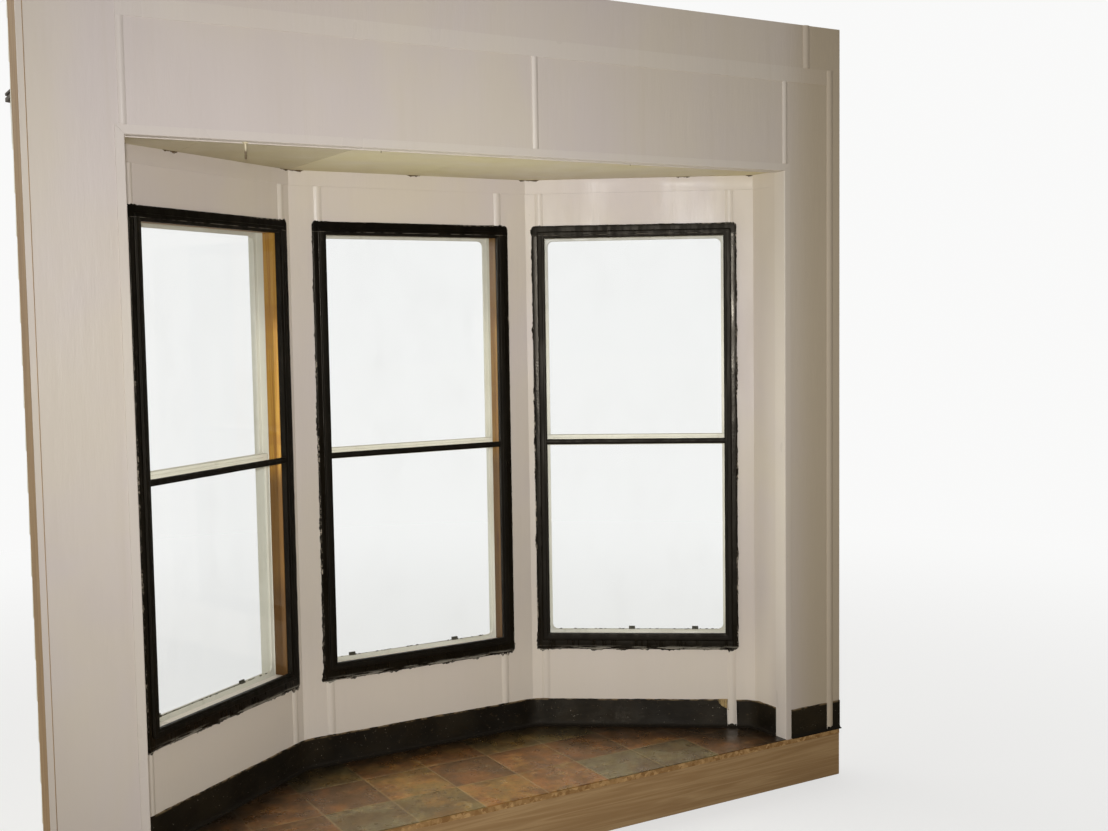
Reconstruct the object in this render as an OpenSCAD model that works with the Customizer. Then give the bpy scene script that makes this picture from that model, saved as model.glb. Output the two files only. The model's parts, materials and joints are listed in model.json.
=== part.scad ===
// Walk-in bay window: three double-glazed units set in a canted bay, with the strip
// of house wall that it opens through, its floor, its ceiling and its small hip roof.
// X runs along the house wall, -Y faces the room, +Y faces outdoors, Z is up.
// Inside the modules, Y = 0 is the room face of the wall and Z = 0 is the finished floor;
// in_frame() then moves everything so that the origin is below the middle of the part.

/* [Plan of the bay] */
// Angle between a side facet and the house wall
side_angle = 35; // [30:1:42]
// Depth of the square return between the wall's room face and a side facet
return_d = 157; // [135:1:220]
// Wall between the return and a side window's frame
jamb_margin = 55; // [45:1:90]
// Wall between a side window's frame and the bay's corner
corner_margin = 20; // [17:1:40]
// Wall on both sides of the middle window's frame
centre_margin = 70.5; // [60:0.5:110]
// Wall over the window frames, up to the bay's ceiling
head_margin = 151; // [130:1:200]

/* [House wall] */
// Height of the wall over the opening, up to the ceiling of the room
header_h = 456; // [420:2:520]
// Distance from the opening to the centre of the batten on the right
wing_batten = 187; // [170:1:220]
// Wall kept beyond that batten's centre, and as much on the left
wing_edge = 43; // [38:1:80]
// Distance from the opening to the joint between two wall panels on the left
joint_x = 215; // [200:1:220]
// Width of that joint
joint_w = 2; // [1:0.5:3]
// Thickness of the wall panels and of the bay's ceiling planks
panel_t = 4; // [3:0.5:6]
// Width of the ceiling planks
plank_w = 406; // [300:1:500]
// Joint between two ceiling planks
plank_gap = 1.5; // [1:0.5:3]
// Depth of studs and sheathing
core_t = 100; // [90:1:110]
// Thickness of the siding, over its laps
siding_t = 14; // [10:1:18]
// Height of the siding's lower edge above the base
siding_gap = 12; // [6:1:20]

/* [Floor] */
// Depth of the floor platform
joist_h = 140; // [120:5:190]
// Thickness of the floor decking
deck_t = 16; // [12:1:20]
// Thickness of the floor covering
cover_t = 3; // [2:0.5:5]

/* [Inner window frames] */
// Outer width of a black frame
frame_w = 671; // [560:1:760]
// Outer height of a black frame
frame_h = 1415; // [1200:5:1500]
// Height of its lower edge above the finished floor
frame_z = 264; // [240:2:290]
// Face width of the stiles
stile_w = 42; // [40:1:46]
// Face width of the head
head_w = 40; // [38:1:46]
// Face width of the sill member
sill_w = 54; // [48:1:60]
// Part of the stile and head face that is the thin wall flange
flange_w = 20; // [16:1:24]
// Part of the sill face that is the thin wall flange
sill_flange_w = 32; // [26:1:36]
// Thickness of the wall flange
flange_t = 6; // [4:0.5:8]
// How far the glazed part stands into the room
frame_proud = 12; // [9:0.5:16]
// How far the frame reaches into the wall behind its panel's face
frame_depth = 13; // [11:0.5:16]
// Width of the lip round the glass
lip_w = 8; // [5:0.5:12]
// How far the lip and the mid rail lie behind the frame's room face
lip_set = 3; // [1:0.5:5]
// Radius of the flange's corners
flange_r = 12; // [6:1:18]
// Radius of the corners of the glazed part
frame_r = 4; // [2:0.5:6]
// Height of the black mid rail
rail_h = 17; // [14:1:22]
// Height of the mid rail's centre above the frame's lower edge
rail_up = 701; // [640:1:760]

/* [Glass] */
// Thickness of every pane
glass_t = 3; // [2:0.5:4]
// Width of the rebate that a pane sits in
rebate_w = 6; // [5:0.5:8]
// Depth of the rebate behind the face that a pane rests on
rebate_d = 10; // [7:0.5:12]
// Clearance between a pane's edge and its rebate
glass_gap = 0.5; // [0.3:0.1:1]

/* [Jamb liners] */
// Thickness of the wooden liner boards
liner_t = 19; // [16:1:20]
// Thickness of the lowest one
liner_sill_t = 12; // [8:1:14]
// How much of the black frame laps over the wall round the liner
frame_lap = 18; // [16:0.5:18]
// The same at the sill
sill_lap = 30; // [26:0.5:30]
// Depth, from the panel's face, at which the liner stops and the outer window starts
liner_end = 57; // [50:1:62]

/* [Outer windows] */
// Depth of the outer window's frame
outer_depth = 55; // [50:1:60]
// Face width of the outer frame
outer_w = 14; // [12:1:17]
// Height of its sill
outer_sill = 9; // [8:1:12]
// Face width of a sash
sash_w = 14; // [12:1:18]
// Radius of the sashes' corners round the glass
sash_r = 18; // [8:1:24]
// Thickness of a sash
sash_t = 16; // [12:1:20]
// Distance from the liner to the lower sash
track_in = 6; // [3:1:9]
// Gap between the two sash tracks
track_gap = 4; // [2:1:6]
// Height of the step on which the two meeting rails interlock
interlock_h = 6; // [4:1:8]
// Height of the outer window's meeting rails
meeting_h = 34; // [28:1:40]
// Height of the meeting rails' centre above the inner frame's lower edge
meeting_up = 719; // [660:1:780]
// Width of a sash latch
latch_w = 20; // [14:1:26]
// Height of a sash latch
latch_h = 15; // [10:1:20]
// Depth of a sash latch
latch_d = 7; // [5:0.5:8]
// Places of the left window's latches, from the left edge of its rough opening
left_latch = [103, 466]; // [40:1:590]
// The same for the middle window
centre_latch = [103, 466]; // [40:1:590]
// The same for the right window
right_latch = [298, 512]; // [40:1:590]

/* [Outside trim] */
// Face width of the window casings
casing_w = 30; // [26:1:32]
// Thickness of the window casings
casing_t = 20; // [16:1:24]
// Leg width of the corner posts
corner_w = 34; // [30:1:36]
// Thickness of the corner posts
corner_t = 18; // [15:1:22]

/* [Inside trim] */
// Height of the baseboard
base_h = 95; // [80:5:110]
// Thickness of the baseboard
base_t = 3; // [2:0.5:5]
// How far the baseboard's toe stands out
toe_w = 12; // [8:1:16]
// Thickness of the baseboard's toe
toe_t = 1.5; // [1:0.5:3]
// Radius at which the baseboard bends past the corners beside the middle window
bend_corner = 100; // [60:5:140]
// Radius at which it bends from a return to a side facet
bend_jamb = 60; // [40:2:80]
// Gap between the baseboard and a batten that runs down beside it
base_gap = 1; // [0.5:0.5:4]
// Width of the battens on the facets
batten_w = 26; // [20:1:30]
// Thickness of the battens at their rounded middle
batten_t = 6; // [4:0.5:8]
// Thickness of the battens at their edges
batten_edge = 1.5; // [1:0.5:3]
// Distance of each left-hand batten from its window frame's left edge, facet by facet
batten_left = [9, 20, 25]; // [0:1:40]
// Distance of each right-hand batten from its window frame's right edge
batten_right = [22, 35, 22]; // [0:1:40]
// Height above the floor at which the two long battens end
batten_up = 5; // [2:1:12]
// Height of the cornice strip
cornice_h = 46; // [30:2:60]
// Thickness of the cornice strip and of the wall trim
strip_t = 2; // [1:0.5:4]
// Leg of the corner moulding on the wall's face
mould_face = 20; // [16:1:28]
// Leg of the corner moulding along a return
mould_back = 46; // [36:1:60]
// Leg of the corner moulding along the ceiling
mould_soffit = 36; // [28:1:50]
// Thickness of the corner moulding
mould_t = 3; // [2:0.5:4]
// Radius of its nose
mould_r = 3; // [1:0.5:4]
// Radius of the bead along its leg on the ceiling
bead_r = 2.5; // [1.5:0.5:4]
// Gap in its mitres
mitre_gap = 0.4; // [0.2:0.1:0.8]
// Width of the battens over the opening
seam_w = 19; // [16:1:24]
// Place of the middle seam over the opening, from its centre
seam_x = 113; // [0:5:200]
// Height of the horizontal wall trim's centre over the opening
trim_up = 299; // [260:2:330]
// Width of the horizontal wall trim
trim_w = 48; // [30:1:60]
// Distance from the opening to the centre of the short batten over the trim
top_batten = 89; // [70:1:120]

/* [Roof] */
// Slope of the roof in degrees
pitch = 18; // [14:1:20]
// How far the eave stands out over the siding
eave_out = 90; // [60:2:98]
// Height of the roof frame at the eave
eave_rise = 95; // [80:5:110]
// Thickness of the fascia board
fascia_t = 18; // [14:1:22]
// How far the fascia hangs below the roof frame
fascia_drop = 10; // [8:1:20]
// Thickness of the roof covering, measured straight up
roof_t = 22; // [16:1:30]
// How far the covering overhangs the fascia
drip = 10; // [6:1:16]
// Thickness of the board under the eave
eave_board_t = 6; // [4:1:9]
// Height of the flashing against the wall
flashing_h = 40; // [30:5:60]
// Width of the flashing on the roof
flashing_w = 50; // [40:5:70]
// Thickness of the flashing
flashing_t = 1.5; // [1:0.5:2]

/* [Hidden] */

// Reach of a shape that stands for a half-space, and of a cut past what it cuts
big = 5000;
over = 1;
// Steps of an arc in degrees
step = 15;
side_w = jamb_margin + frame_w + corner_margin;
centre_w = frame_w + 2 * centre_margin;
opening_h = frame_z + frame_h + head_margin;
wall_h = opening_h + header_h;
trim_z = opening_h + trim_up;
half_w = centre_w / 2 + side_w * cos(side_angle);
bay_d = return_d + side_w * sin(side_angle);
core_n = panel_t + core_t;
skin_n = core_n + siding_t;
eave_n = skin_n + eave_out;
deck_z = -cover_t;
platform_z = deck_z - deck_t;
base_z = platform_z - joist_h;
plate_z = opening_h + panel_t;
frame_top = frame_z + frame_h;
rough_w = frame_w - 2 * frame_lap;
rough_z = frame_z + sill_lap;
rough_h = frame_h - sill_lap - frame_lap;
roof_z = plate_z + eave_rise;
front_y = -toe_w;
back_y = bay_d + eave_n + drip;
wing_x = half_w + wing_batten + wing_edge;

// Plan of the bay, n millimetres outside its room faces
function end_pt(n, y) = [-half_w - n, y];
function jamb_pt(n) = [-half_w - n, return_d + n * tan((90 - side_angle) / 2)];
function corner_pt(n) = [-centre_w / 2 - n * tan(side_angle / 2), bay_d + n];
function flip(p) = [-p[0], p[1]];
function back_to_front(list) = [for (i = [len(list) - 1:-1:0]) list[i]];
function half_path(n, y) = [end_pt(n, y), jamb_pt(n), corner_pt(n)];
function path(n, y) = concat(half_path(n, y), [for (p = back_to_front(half_path(n, y))) flip(p)]);
function band(n0, n1, y) = concat(path(n0, y), back_to_front(path(n1, y)));

// A point on the left or middle facet: s along it, n outside its room face
function on_side(s, n) = jamb_pt(0) + s * [cos(side_angle), sin(side_angle)]
    + n * [-sin(side_angle), cos(side_angle)];
function on_centre(s, n) = corner_pt(0) + [s, n];

// Where a window frame starts on each facet, from the facet's left end
frame_s = [jamb_margin, centre_margin, corner_margin];
rough_s = [for (s = frame_s) s + frame_lap];

module in_frame() {
    translate([0, -(front_y + back_y) / 2, -base_z]) children();
}

// Moves a shape drawn in a facet's own plane: X along it, Y outward, Z up
module facet(i) {
    if (i == 0) {
        translate(jamb_pt(0)) rotate([0, 0, side_angle]) children();
    }
    if (i == 1) {
        translate(corner_pt(0)) children();
    }
    if (i == 2) {
        translate(flip(corner_pt(0))) rotate([0, 0, -side_angle]) children();
    }
}

// The same for the left return, from the room inwards
module left_return() {
    translate([-half_w, 0, 0]) rotate([0, 0, 90]) children();
}

module both_sides() {
    children();
    mirror([1, 0, 0]) children();
}

module box(low, high) {
    translate(low) cube(high - low);
}

module slab(points, z0, z1) {
    translate([0, 0, z0]) linear_extrude(z1 - z0) polygon(points);
}

// A corner of a rectangle as an arc about its centre, or as a sharp point
function corner_arc(x, z, r, start) = r > 0
    ? [for (a = [0:step:90]) [x + r * cos(start + a), z + r * sin(start + a)]]
    : [[x, z]];
function soft_rect(w, h, low_r, high_r) = concat(
    corner_arc(w - low_r, low_r, low_r, -90), corner_arc(w - high_r, h - high_r, high_r, 0),
    corner_arc(high_r, h - high_r, high_r, 90), corner_arc(low_r, low_r, low_r, 180)
);

// A ring standing in a facet's plane, inset by side, top and bottom widths, with the
// radius of its outer corners and of the lower and upper corners of its opening
module ring(w, h, side, top, bottom, y0, y1, r = 0, low_r = 0, high_r = 0) {
    translate([0, y1, 0]) rotate([90, 0, 0]) linear_extrude(y1 - y0) difference() {
        polygon(soft_rect(w, h, r, r));
        translate([side, bottom]) polygon(soft_rect(w - 2 * side, h - top - bottom, low_r, high_r));
    }
}

// Floor

function floor_plan() = concat(
    [[-wing_x, 0], [-wing_x, core_n]],
    path(core_n, core_n),
    [[wing_x, core_n], [wing_x, 0]]
);

module floor_platform() {
    color("burlywood") in_frame() slab(floor_plan(), base_z, platform_z);
}

module floor_deck() {
    color("tan") in_frame() slab(floor_plan(), platform_z, deck_z);
}

module floor_covering() {
    color("saddlebrown") in_frame() slab(path(0, 0), deck_z, 0);
}

// House wall

module wing() {
    box([-wing_x, panel_t, deck_z], [-half_w - panel_t, core_n, wall_h]);
}

module left_wing() {
    color("wheat") in_frame() wing();
}

module right_wing() {
    color("wheat") in_frame() mirror([1, 0, 0]) wing();
}

module header() {
    inner = half_w + panel_t;
    color("wheat") in_frame() box([-inner, panel_t, plate_z], [inner, core_n, wall_h]);
}

module wall_panel() {
    color("antiquewhite") in_frame() difference() {
        box([-wing_x, 0, deck_z], [wing_x, panel_t, wall_h]);
        box([-half_w, -over, deck_z - over], [half_w, panel_t + over, opening_h]);
        box(
            [-half_w - joint_x - joint_w / 2, -over, deck_z - over],
            [-half_w - joint_x + joint_w / 2, panel_t + over, wall_h + over]
        );
    }
}

module wall_siding() {
    color("cornsilk") in_frame() difference() {
        box([-wing_x, core_n, base_z + siding_gap], [wing_x, skin_n, wall_h]);
        box([-half_w - core_n, core_n - over, base_z], [half_w + core_n, skin_n + over, plate_z]);
        intersection() {
            slab(path(eave_n + drip, core_n - over), plate_z - fascia_drop, wall_h);
            under_roof(roof_t);
        }
    }
}

// Bay walls

module jamb_post() {
    slab([
        end_pt(panel_t, core_n), jamb_pt(panel_t), on_side(rough_s[0], panel_t),
        on_side(rough_s[0], core_n), jamb_pt(core_n), end_pt(core_n, core_n)
    ], deck_z, plate_z);
}

module left_jamb_post() {
    color("wheat") in_frame() jamb_post();
}

module right_jamb_post() {
    color("wheat") in_frame() mirror([1, 0, 0]) jamb_post();
}

module mullion() {
    side_end = rough_s[0] + rough_w;
    slab([
        on_side(side_end, panel_t), corner_pt(panel_t), on_centre(rough_s[1], panel_t),
        on_centre(rough_s[1], core_n), corner_pt(core_n), on_side(side_end, core_n)
    ], deck_z, plate_z);
}

module left_mullion() {
    color("wheat") in_frame() mullion();
}

module right_mullion() {
    color("wheat") in_frame() mirror([1, 0, 0]) mullion();
}

module apron(i) {
    color("wheat") in_frame() facet(i) box(
        [rough_s[i], panel_t, deck_z],
        [rough_s[i] + rough_w, core_n, rough_z]
    );
}

module head(i) {
    color("wheat") in_frame() facet(i) box(
        [rough_s[i], panel_t, rough_z + rough_h],
        [rough_s[i] + rough_w, core_n, plate_z]
    );
}

module rough_openings() {
    for (i = [0:2]) {
        facet(i) box([rough_s[i], -core_n, rough_z], [rough_s[i] + rough_w, 2 * core_n, rough_z + rough_h]);
    }
}

module bay_panels() {
    color("antiquewhite") in_frame() difference() {
        slab(band(0, panel_t, panel_t), deck_z, opening_h);
        rough_openings();
    }
}

module ceiling_panel() {
    count = ceil((half_w + panel_t) / plank_w);
    color("beige") in_frame() intersection() {
        slab(path(panel_t, panel_t), opening_h, plate_z);
        for (k = [-count:count - 1]) {
            box(
                [k * plank_w + plank_gap / 2, 0, opening_h - over],
                [(k + 1) * plank_w - plank_gap / 2, bay_d + skin_n, plate_z + over]
            );
        }
    }
}

// Outside skin of the bay

module corner_post_plans() {
    back = end_pt(0, jamb_pt(core_n)[1] - corner_w);
    jamb_s = corner_w - core_n * tan((90 - side_angle) / 2);
    side_s = side_w + core_n * tan(side_angle / 2) - corner_w;
    centre_s = corner_w - core_n * tan(side_angle / 2);
    post_n = core_n + corner_t;
    polygon([
        back - [core_n, 0], jamb_pt(core_n), on_side(jamb_s, core_n),
        on_side(jamb_s, post_n), jamb_pt(post_n), back - [post_n, 0]
    ]);
    polygon([
        on_side(side_s, core_n), corner_pt(core_n), on_centre(centre_s, core_n),
        on_centre(centre_s, post_n), corner_pt(post_n), on_side(side_s, post_n)
    ]);
}

module corner_posts() {
    color("white") in_frame() both_sides() {
        translate([0, 0, base_z + siding_gap]) {
            linear_extrude(plate_z - base_z - siding_gap) corner_post_plans();
        }
    }
}

module casing_blocks(grow) {
    for (i = [0:2]) {
        facet(i) box(
            [rough_s[i] - casing_w, core_n - grow, rough_z - casing_w],
            [rough_s[i] + rough_w + casing_w, core_n + casing_t + grow, rough_z + rough_h + casing_w]
        );
    }
}

module bay_siding() {
    color("cornsilk") in_frame() difference() {
        slab(band(core_n, skin_n, skin_n), base_z + siding_gap, plate_z);
        casing_blocks(over);
        both_sides() {
            translate([0, 0, base_z]) linear_extrude(big) corner_post_plans();
        }
    }
}

module window_casings() {
    color("white") in_frame() difference() {
        casing_blocks(0);
        rough_openings();
    }
}

// Windows

// The part of a black frame round the glass, with its opening widened by grow
module glazed_ring(y0, y1, grow) {
    ring(
        frame_w - 2 * flange_w, frame_h - flange_w - sill_flange_w,
        stile_w - flange_w - grow, head_w - flange_w - grow, sill_w - sill_flange_w - grow,
        y0, y1, frame_r
    );
}

module inner_frame(i) {
    lip_y = frame_depth - rebate_d;
    rail_low = rail_up - rail_h / 2;
    color([0.08, 0.08, 0.08]) in_frame() facet(i) translate([frame_s[i], 0, frame_z]) {
        ring(frame_w, frame_h, stile_w, head_w, sill_w, -flange_t, 0, flange_r);
        translate([flange_w, 0, sill_flange_w]) {
            glazed_ring(-frame_proud, -frame_proud + lip_set, lip_w);
            glazed_ring(-frame_proud + lip_set, lip_y, 0);
            glazed_ring(lip_y, frame_depth, rebate_w);
        }
        box([stile_w, -frame_proud + lip_set, rail_low], [frame_w - stile_w, lip_y, rail_low + rail_h]);
        box(
            [stile_w - rebate_w, lip_y, rail_low + rebate_w],
            [frame_w - stile_w + rebate_w, frame_depth, rail_low + rail_h - rebate_w]
        );
    }
}

module pane(x0, x1, y, z0, z1) {
    box([x0 + glass_gap, y, z0 + glass_gap], [x1 - glass_gap, y + glass_t, z1 - glass_gap]);
}

module inner_glass() {
    lip_y = frame_depth - rebate_d;
    x0 = stile_w - rebate_w;
    x1 = frame_w - stile_w + rebate_w;
    low = sill_w - rebate_w;
    high = frame_h - head_w + rebate_w;
    rail_low = rail_up - rail_h / 2;
    color([0.8, 0.9, 0.9, 0.4]) in_frame() {
        for (i = [0:2]) {
            facet(i) translate([frame_s[i], 0, frame_z]) {
                pane(x0, x1, lip_y, low, rail_low + rebate_w);
                pane(x0, x1, lip_y, rail_low + rail_h - rebate_w, high);
            }
        }
    }
}

module jamb_liner(i) {
    color("peru") in_frame() facet(i) translate([rough_s[i], 0, rough_z]) {
        ring(rough_w, rough_h, liner_t, liner_t, liner_sill_t, frame_depth, liner_end);
    }
}

// The outer window's lower sash runs in the inner track, the upper one in the outer track
low_sash_y = liner_end + track_in;
up_sash_y = low_sash_y + sash_t + track_gap;
outer_end = liner_end + outer_depth;

latch_s = [left_latch, centre_latch, right_latch];

module sash(w, h, y, bottom, top, low_r, high_r) {
    glass_y = y + sash_t / 2;
    ring(w, h, sash_w, top, bottom, y, glass_y, 0, low_r, high_r);
    ring(w, h, sash_w - rebate_w, top - rebate_w, bottom - rebate_w, glass_y, y + sash_t);
}

module latch() {
    notch = latch_d / 2;
    rotate([90, 0, 90]) linear_extrude(latch_w) polygon([
        [0, 0], [latch_d, 0], [latch_d, latch_h], [notch, latch_h], [notch, latch_h / 2], [0, latch_h / 2]
    ]);
}

module outer_window(i) {
    inner_w = rough_w - 2 * outer_w;
    top_z = rough_h - outer_w;
    meet_low = meeting_up - sill_lap - meeting_h / 2;
    color("gainsboro") in_frame() facet(i) translate([rough_s[i], 0, rough_z]) {
        ring(rough_w, rough_h, outer_w, outer_w, outer_sill, liner_end, outer_end);
        translate([outer_w, 0, outer_sill]) {
            sash(inner_w, meet_low + meeting_h - outer_sill, low_sash_y, sash_w, meeting_h, sash_r, 0);
        }
        translate([outer_w, 0, meet_low]) {
            sash(inner_w, top_z - meet_low, up_sash_y, meeting_h, sash_w, 0, sash_r);
        }
        for (s = latch_s[i]) {
            translate([s - latch_w / 2, low_sash_y, outer_sill + sash_w]) latch();
        }
        box(
            [outer_w, low_sash_y + sash_t, meet_low + meeting_h / 2],
            [rough_w - outer_w, up_sash_y, meet_low + meeting_h / 2 + interlock_h]
        );
    }
}

module outer_glass() {
    x0 = outer_w + sash_w - rebate_w;
    x1 = rough_w - x0;
    low = outer_sill + sash_w - rebate_w;
    meet_low = meeting_up - sill_lap - meeting_h / 2;
    color([0.8, 0.9, 0.9, 0.4]) in_frame() {
        for (i = [0:2]) {
            facet(i) translate([rough_s[i], 0, rough_z]) {
                pane(x0, x1, low_sash_y + sash_t / 2, low, meet_low + rebate_w);
                pane(
                    x0, x1, up_sash_y + sash_t / 2,
                    meet_low + meeting_h - rebate_w, rough_h - x0
                );
            }
        }
    }
}

// Inside trim

// Section of the moulding on an outside corner: a leg on the wall's face, towards -X,
// a rounded nose and a leg of the given length away from the room
function mould_section(leg) = concat(
    [[0, 0], [-mould_face, 0], [-mould_face, -mould_t]],
    [for (a = [0:step:90]) [
        mould_t - mould_r + mould_r * sin(a), -mould_t + mould_r - mould_r * cos(a)
    ]],
    [[mould_t, leg], [0, leg]]
);

// Everything over the left mitre, which falls at 45 degrees through the opening's corner
module over_mitre(shift) {
    translate([shift - half_w, 0, opening_h]) rotate([90, 0, 0]) {
        linear_extrude(big, center = true) polygon([[-big, big], [big, -big], [big, big]]);
    }
}

module corner_moulding() {
    length = 2 * (half_w + mould_face);
    color("floralwhite") in_frame() {
        both_sides() difference() {
            translate([-half_w, 0, 0]) {
                linear_extrude(opening_h + mould_face) polygon(mould_section(mould_back));
            }
            over_mitre(-mitre_gap / 2);
        }
        intersection() {
            translate([-length / 2, 0, opening_h]) rotate([90, 0, 90]) {
                linear_extrude(length) polygon([for (p = mould_section(mould_soffit)) [p[1], -p[0]]]);
                translate([mould_soffit - bead_r, -mould_t, 0]) cylinder(length, bead_r, bead_r, $fn = 24);
            }
            over_mitre(mitre_gap / 2);
            mirror([1, 0, 0]) over_mitre(mitre_gap / 2);
        }
    }
}

// Section of the baseboard: a flat back, a worn upper edge, and a cove that runs out to
// a thin toe
function base_section() = let (r = toe_w - base_t, worn = base_t / 3) concat(
    [[0, 0], [0, base_h], [worn - base_t, base_h], [-base_t, base_h - worn]],
    [for (a = [0:step:90]) [-toe_w + r * cos(a), toe_t + r - r * sin(a)]],
    [[-toe_w, 0]]
);

module base_run(from, to) {
    translate([from, 0, 0]) rotate([90, 0, 90]) linear_extrude(to - from) polygon(base_section());
}

// The baseboard where it bends at radius r past an inner corner, from angle start on
module base_bend(centre, r, start, turn) {
    translate(centre) rotate([0, 0, start]) rotate_extrude(angle = turn, $fn = 96) {
        polygon([for (p = base_section()) [r + p[0], p[1]]]);
    }
}

// Where the baseboard is cut for a batten at x that runs down beside it
module base_slot(x) {
    half = batten_w / 2 + base_gap;
    box([x - half, -toe_w - over, -over], [x + half, over, base_h + over]);
}

module baseboard() {
    past_jamb = bend_jamb * tan((90 - side_angle) / 2);
    past_corner = bend_corner * tan(side_angle / 2);
    color([0.16, 0.14, 0.13]) in_frame() difference() {
        union() {
            both_sides() {
                base_run(-wing_x, -half_w - mould_face);
                left_return() base_run(mould_back, return_d - past_jamb);
                base_bend(jamb_pt(-bend_jamb), bend_jamb, 90 + side_angle, 90 - side_angle);
                facet(0) base_run(past_jamb, side_w - past_corner);
                base_bend(corner_pt(-bend_corner), bend_corner, 90, side_angle);
            }
            facet(1) base_run(past_corner, centre_w - past_corner);
        }
        facet(2) base_slot(frame_s[2] + frame_w - batten_right[2]);
        base_slot(half_w + wing_batten);
    }
}

// Plan of a batten: straight edges and a rounded face
function batten_section(w) = let (crown = batten_t - batten_edge) concat(
    [[0, 0]],
    [for (a = [0:2 * step:180]) [w * a / 180, -batten_edge - crown * sin(a)]],
    [[w, 0]]
);

module batten(x, w, z0, z1) {
    translate([x - w / 2, 0, z0]) linear_extrude(z1 - z0) polygon(batten_section(w));
}

module facet_battens() {
    color("floralwhite") in_frame() {
        for (i = [0:2]) {
            left = frame_s[i] + batten_left[i];
            right = frame_s[i] + frame_w - batten_right[i];
            for (x = [left, right]) {
                low = i == 2 && x == right ? batten_up : base_h;
                facet(i) {
                    batten(x, batten_w, low, frame_z);
                    batten(x, batten_w, frame_top, opening_h - cornice_h);
                }
            }
        }
    }
}

module cornice() {
    color("floralwhite") in_frame() {
        slab(band(-strip_t, 0, mould_back), opening_h - cornice_h, opening_h);
    }
}

module wall_battens() {
    low = opening_h + mould_face;
    trim_low = trim_z - trim_w / 2;
    trim_high = trim_z + trim_w / 2;
    wing_at = half_w + wing_batten;
    color("floralwhite") in_frame() {
        box([-half_w - seam_w / 2, -strip_t, trim_low], [wing_at - batten_w / 2, 0, trim_high]);
        for (x = [-half_w, seam_x, half_w]) {
            batten(x, seam_w, low, trim_low);
        }
        batten(wing_at, batten_w, batten_up, trim_high);
        batten(half_w + top_batten, batten_w, trim_high, wall_h);
    }
}

// Roof

// Everything below the five roof planes, which rise from the eave line, raised by lift
module under_roof(lift) {
    intersection() {
        left_return() below_slope(lift);
        facet(0) below_slope(lift);
        facet(1) below_slope(lift);
        facet(2) below_slope(lift);
        mirror([1, 0, 0]) left_return() below_slope(lift);
    }
}

module below_slope(lift) {
    translate([0, eave_n, roof_z + lift]) rotate([-pitch, 0, 0]) {
        box([-big, -big, -big], [big, big, 0]);
    }
}

module roof_frame() {
    color("wheat") in_frame() intersection() {
        slab(path(eave_n - fascia_t, core_n), plate_z, wall_h);
        under_roof(0);
    }
}

module roof_covering() {
    color("dimgray") in_frame() difference() {
        intersection() {
            slab(path(eave_n + drip, core_n), plate_z, wall_h);
            under_roof(roof_t);
        }
        under_roof(0);
    }
}

module fascia() {
    color("white") in_frame() intersection() {
        slab(band(eave_n - fascia_t, eave_n, skin_n), plate_z - fascia_drop, wall_h);
        under_roof(0);
    }
}

module eave_board() {
    color("white") in_frame() {
        slab(
            band(core_n + corner_t, eave_n - fascia_t, skin_n),
            plate_z - eave_board_t, plate_z
        );
    }
}

module roof_flashing() {
    color("gray") in_frame() difference() {
        intersection() {
            slab(path(eave_n, skin_n), plate_z, wall_h);
            box([-big, skin_n, 0], [big, skin_n + flashing_w, wall_h]);
            under_roof(roof_t + flashing_h);
        }
        under_roof(roof_t);
        difference() {
            box([-big, skin_n + flashing_t, 0], [big, big, wall_h]);
            under_roof(roof_t + flashing_t);
        }
    }
}

floor_platform();
floor_deck();
floor_covering();
left_wing();
right_wing();
header();
left_jamb_post();
right_jamb_post();
left_mullion();
right_mullion();
apron(0);  // left_apron
apron(1);  // centre_apron
apron(2);  // right_apron
head(0);  // left_head
head(1);  // centre_head
head(2);  // right_head
wall_panel();
bay_panels();
ceiling_panel();
inner_frame(0);  // left_inner_frame
inner_frame(1);  // centre_inner_frame
inner_frame(2);  // right_inner_frame
inner_glass();
jamb_liner(0);  // left_jamb_liner
jamb_liner(1);  // centre_jamb_liner
jamb_liner(2);  // right_jamb_liner
outer_window(0);  // left_outer_window
outer_window(1);  // centre_outer_window
outer_window(2);  // right_outer_window
outer_glass();
wall_siding();
bay_siding();
corner_posts();
window_casings();
corner_moulding();
baseboard();
facet_battens();
wall_battens();
cornice();
roof_frame();
roof_covering();
fascia();
eave_board();
roof_flashing();
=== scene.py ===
"""Looks of a walk-in bay window: paint, timber, siding, shingles and wear round its CAD frame.

Lengths are in metres in the part's frame: X runs along the house wall, -Y faces the room, +Y faces
outdoors and Z is up. Pieces on an upright face of the part are made in that face's own axes: s runs
along it from its left end as the room sees it, n goes outdoors from its room side, and z is up.
"""

import json
import math
import random

import bmesh
import bpy
import numpy as np
from mathutils import Matrix, Vector, noise

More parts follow.
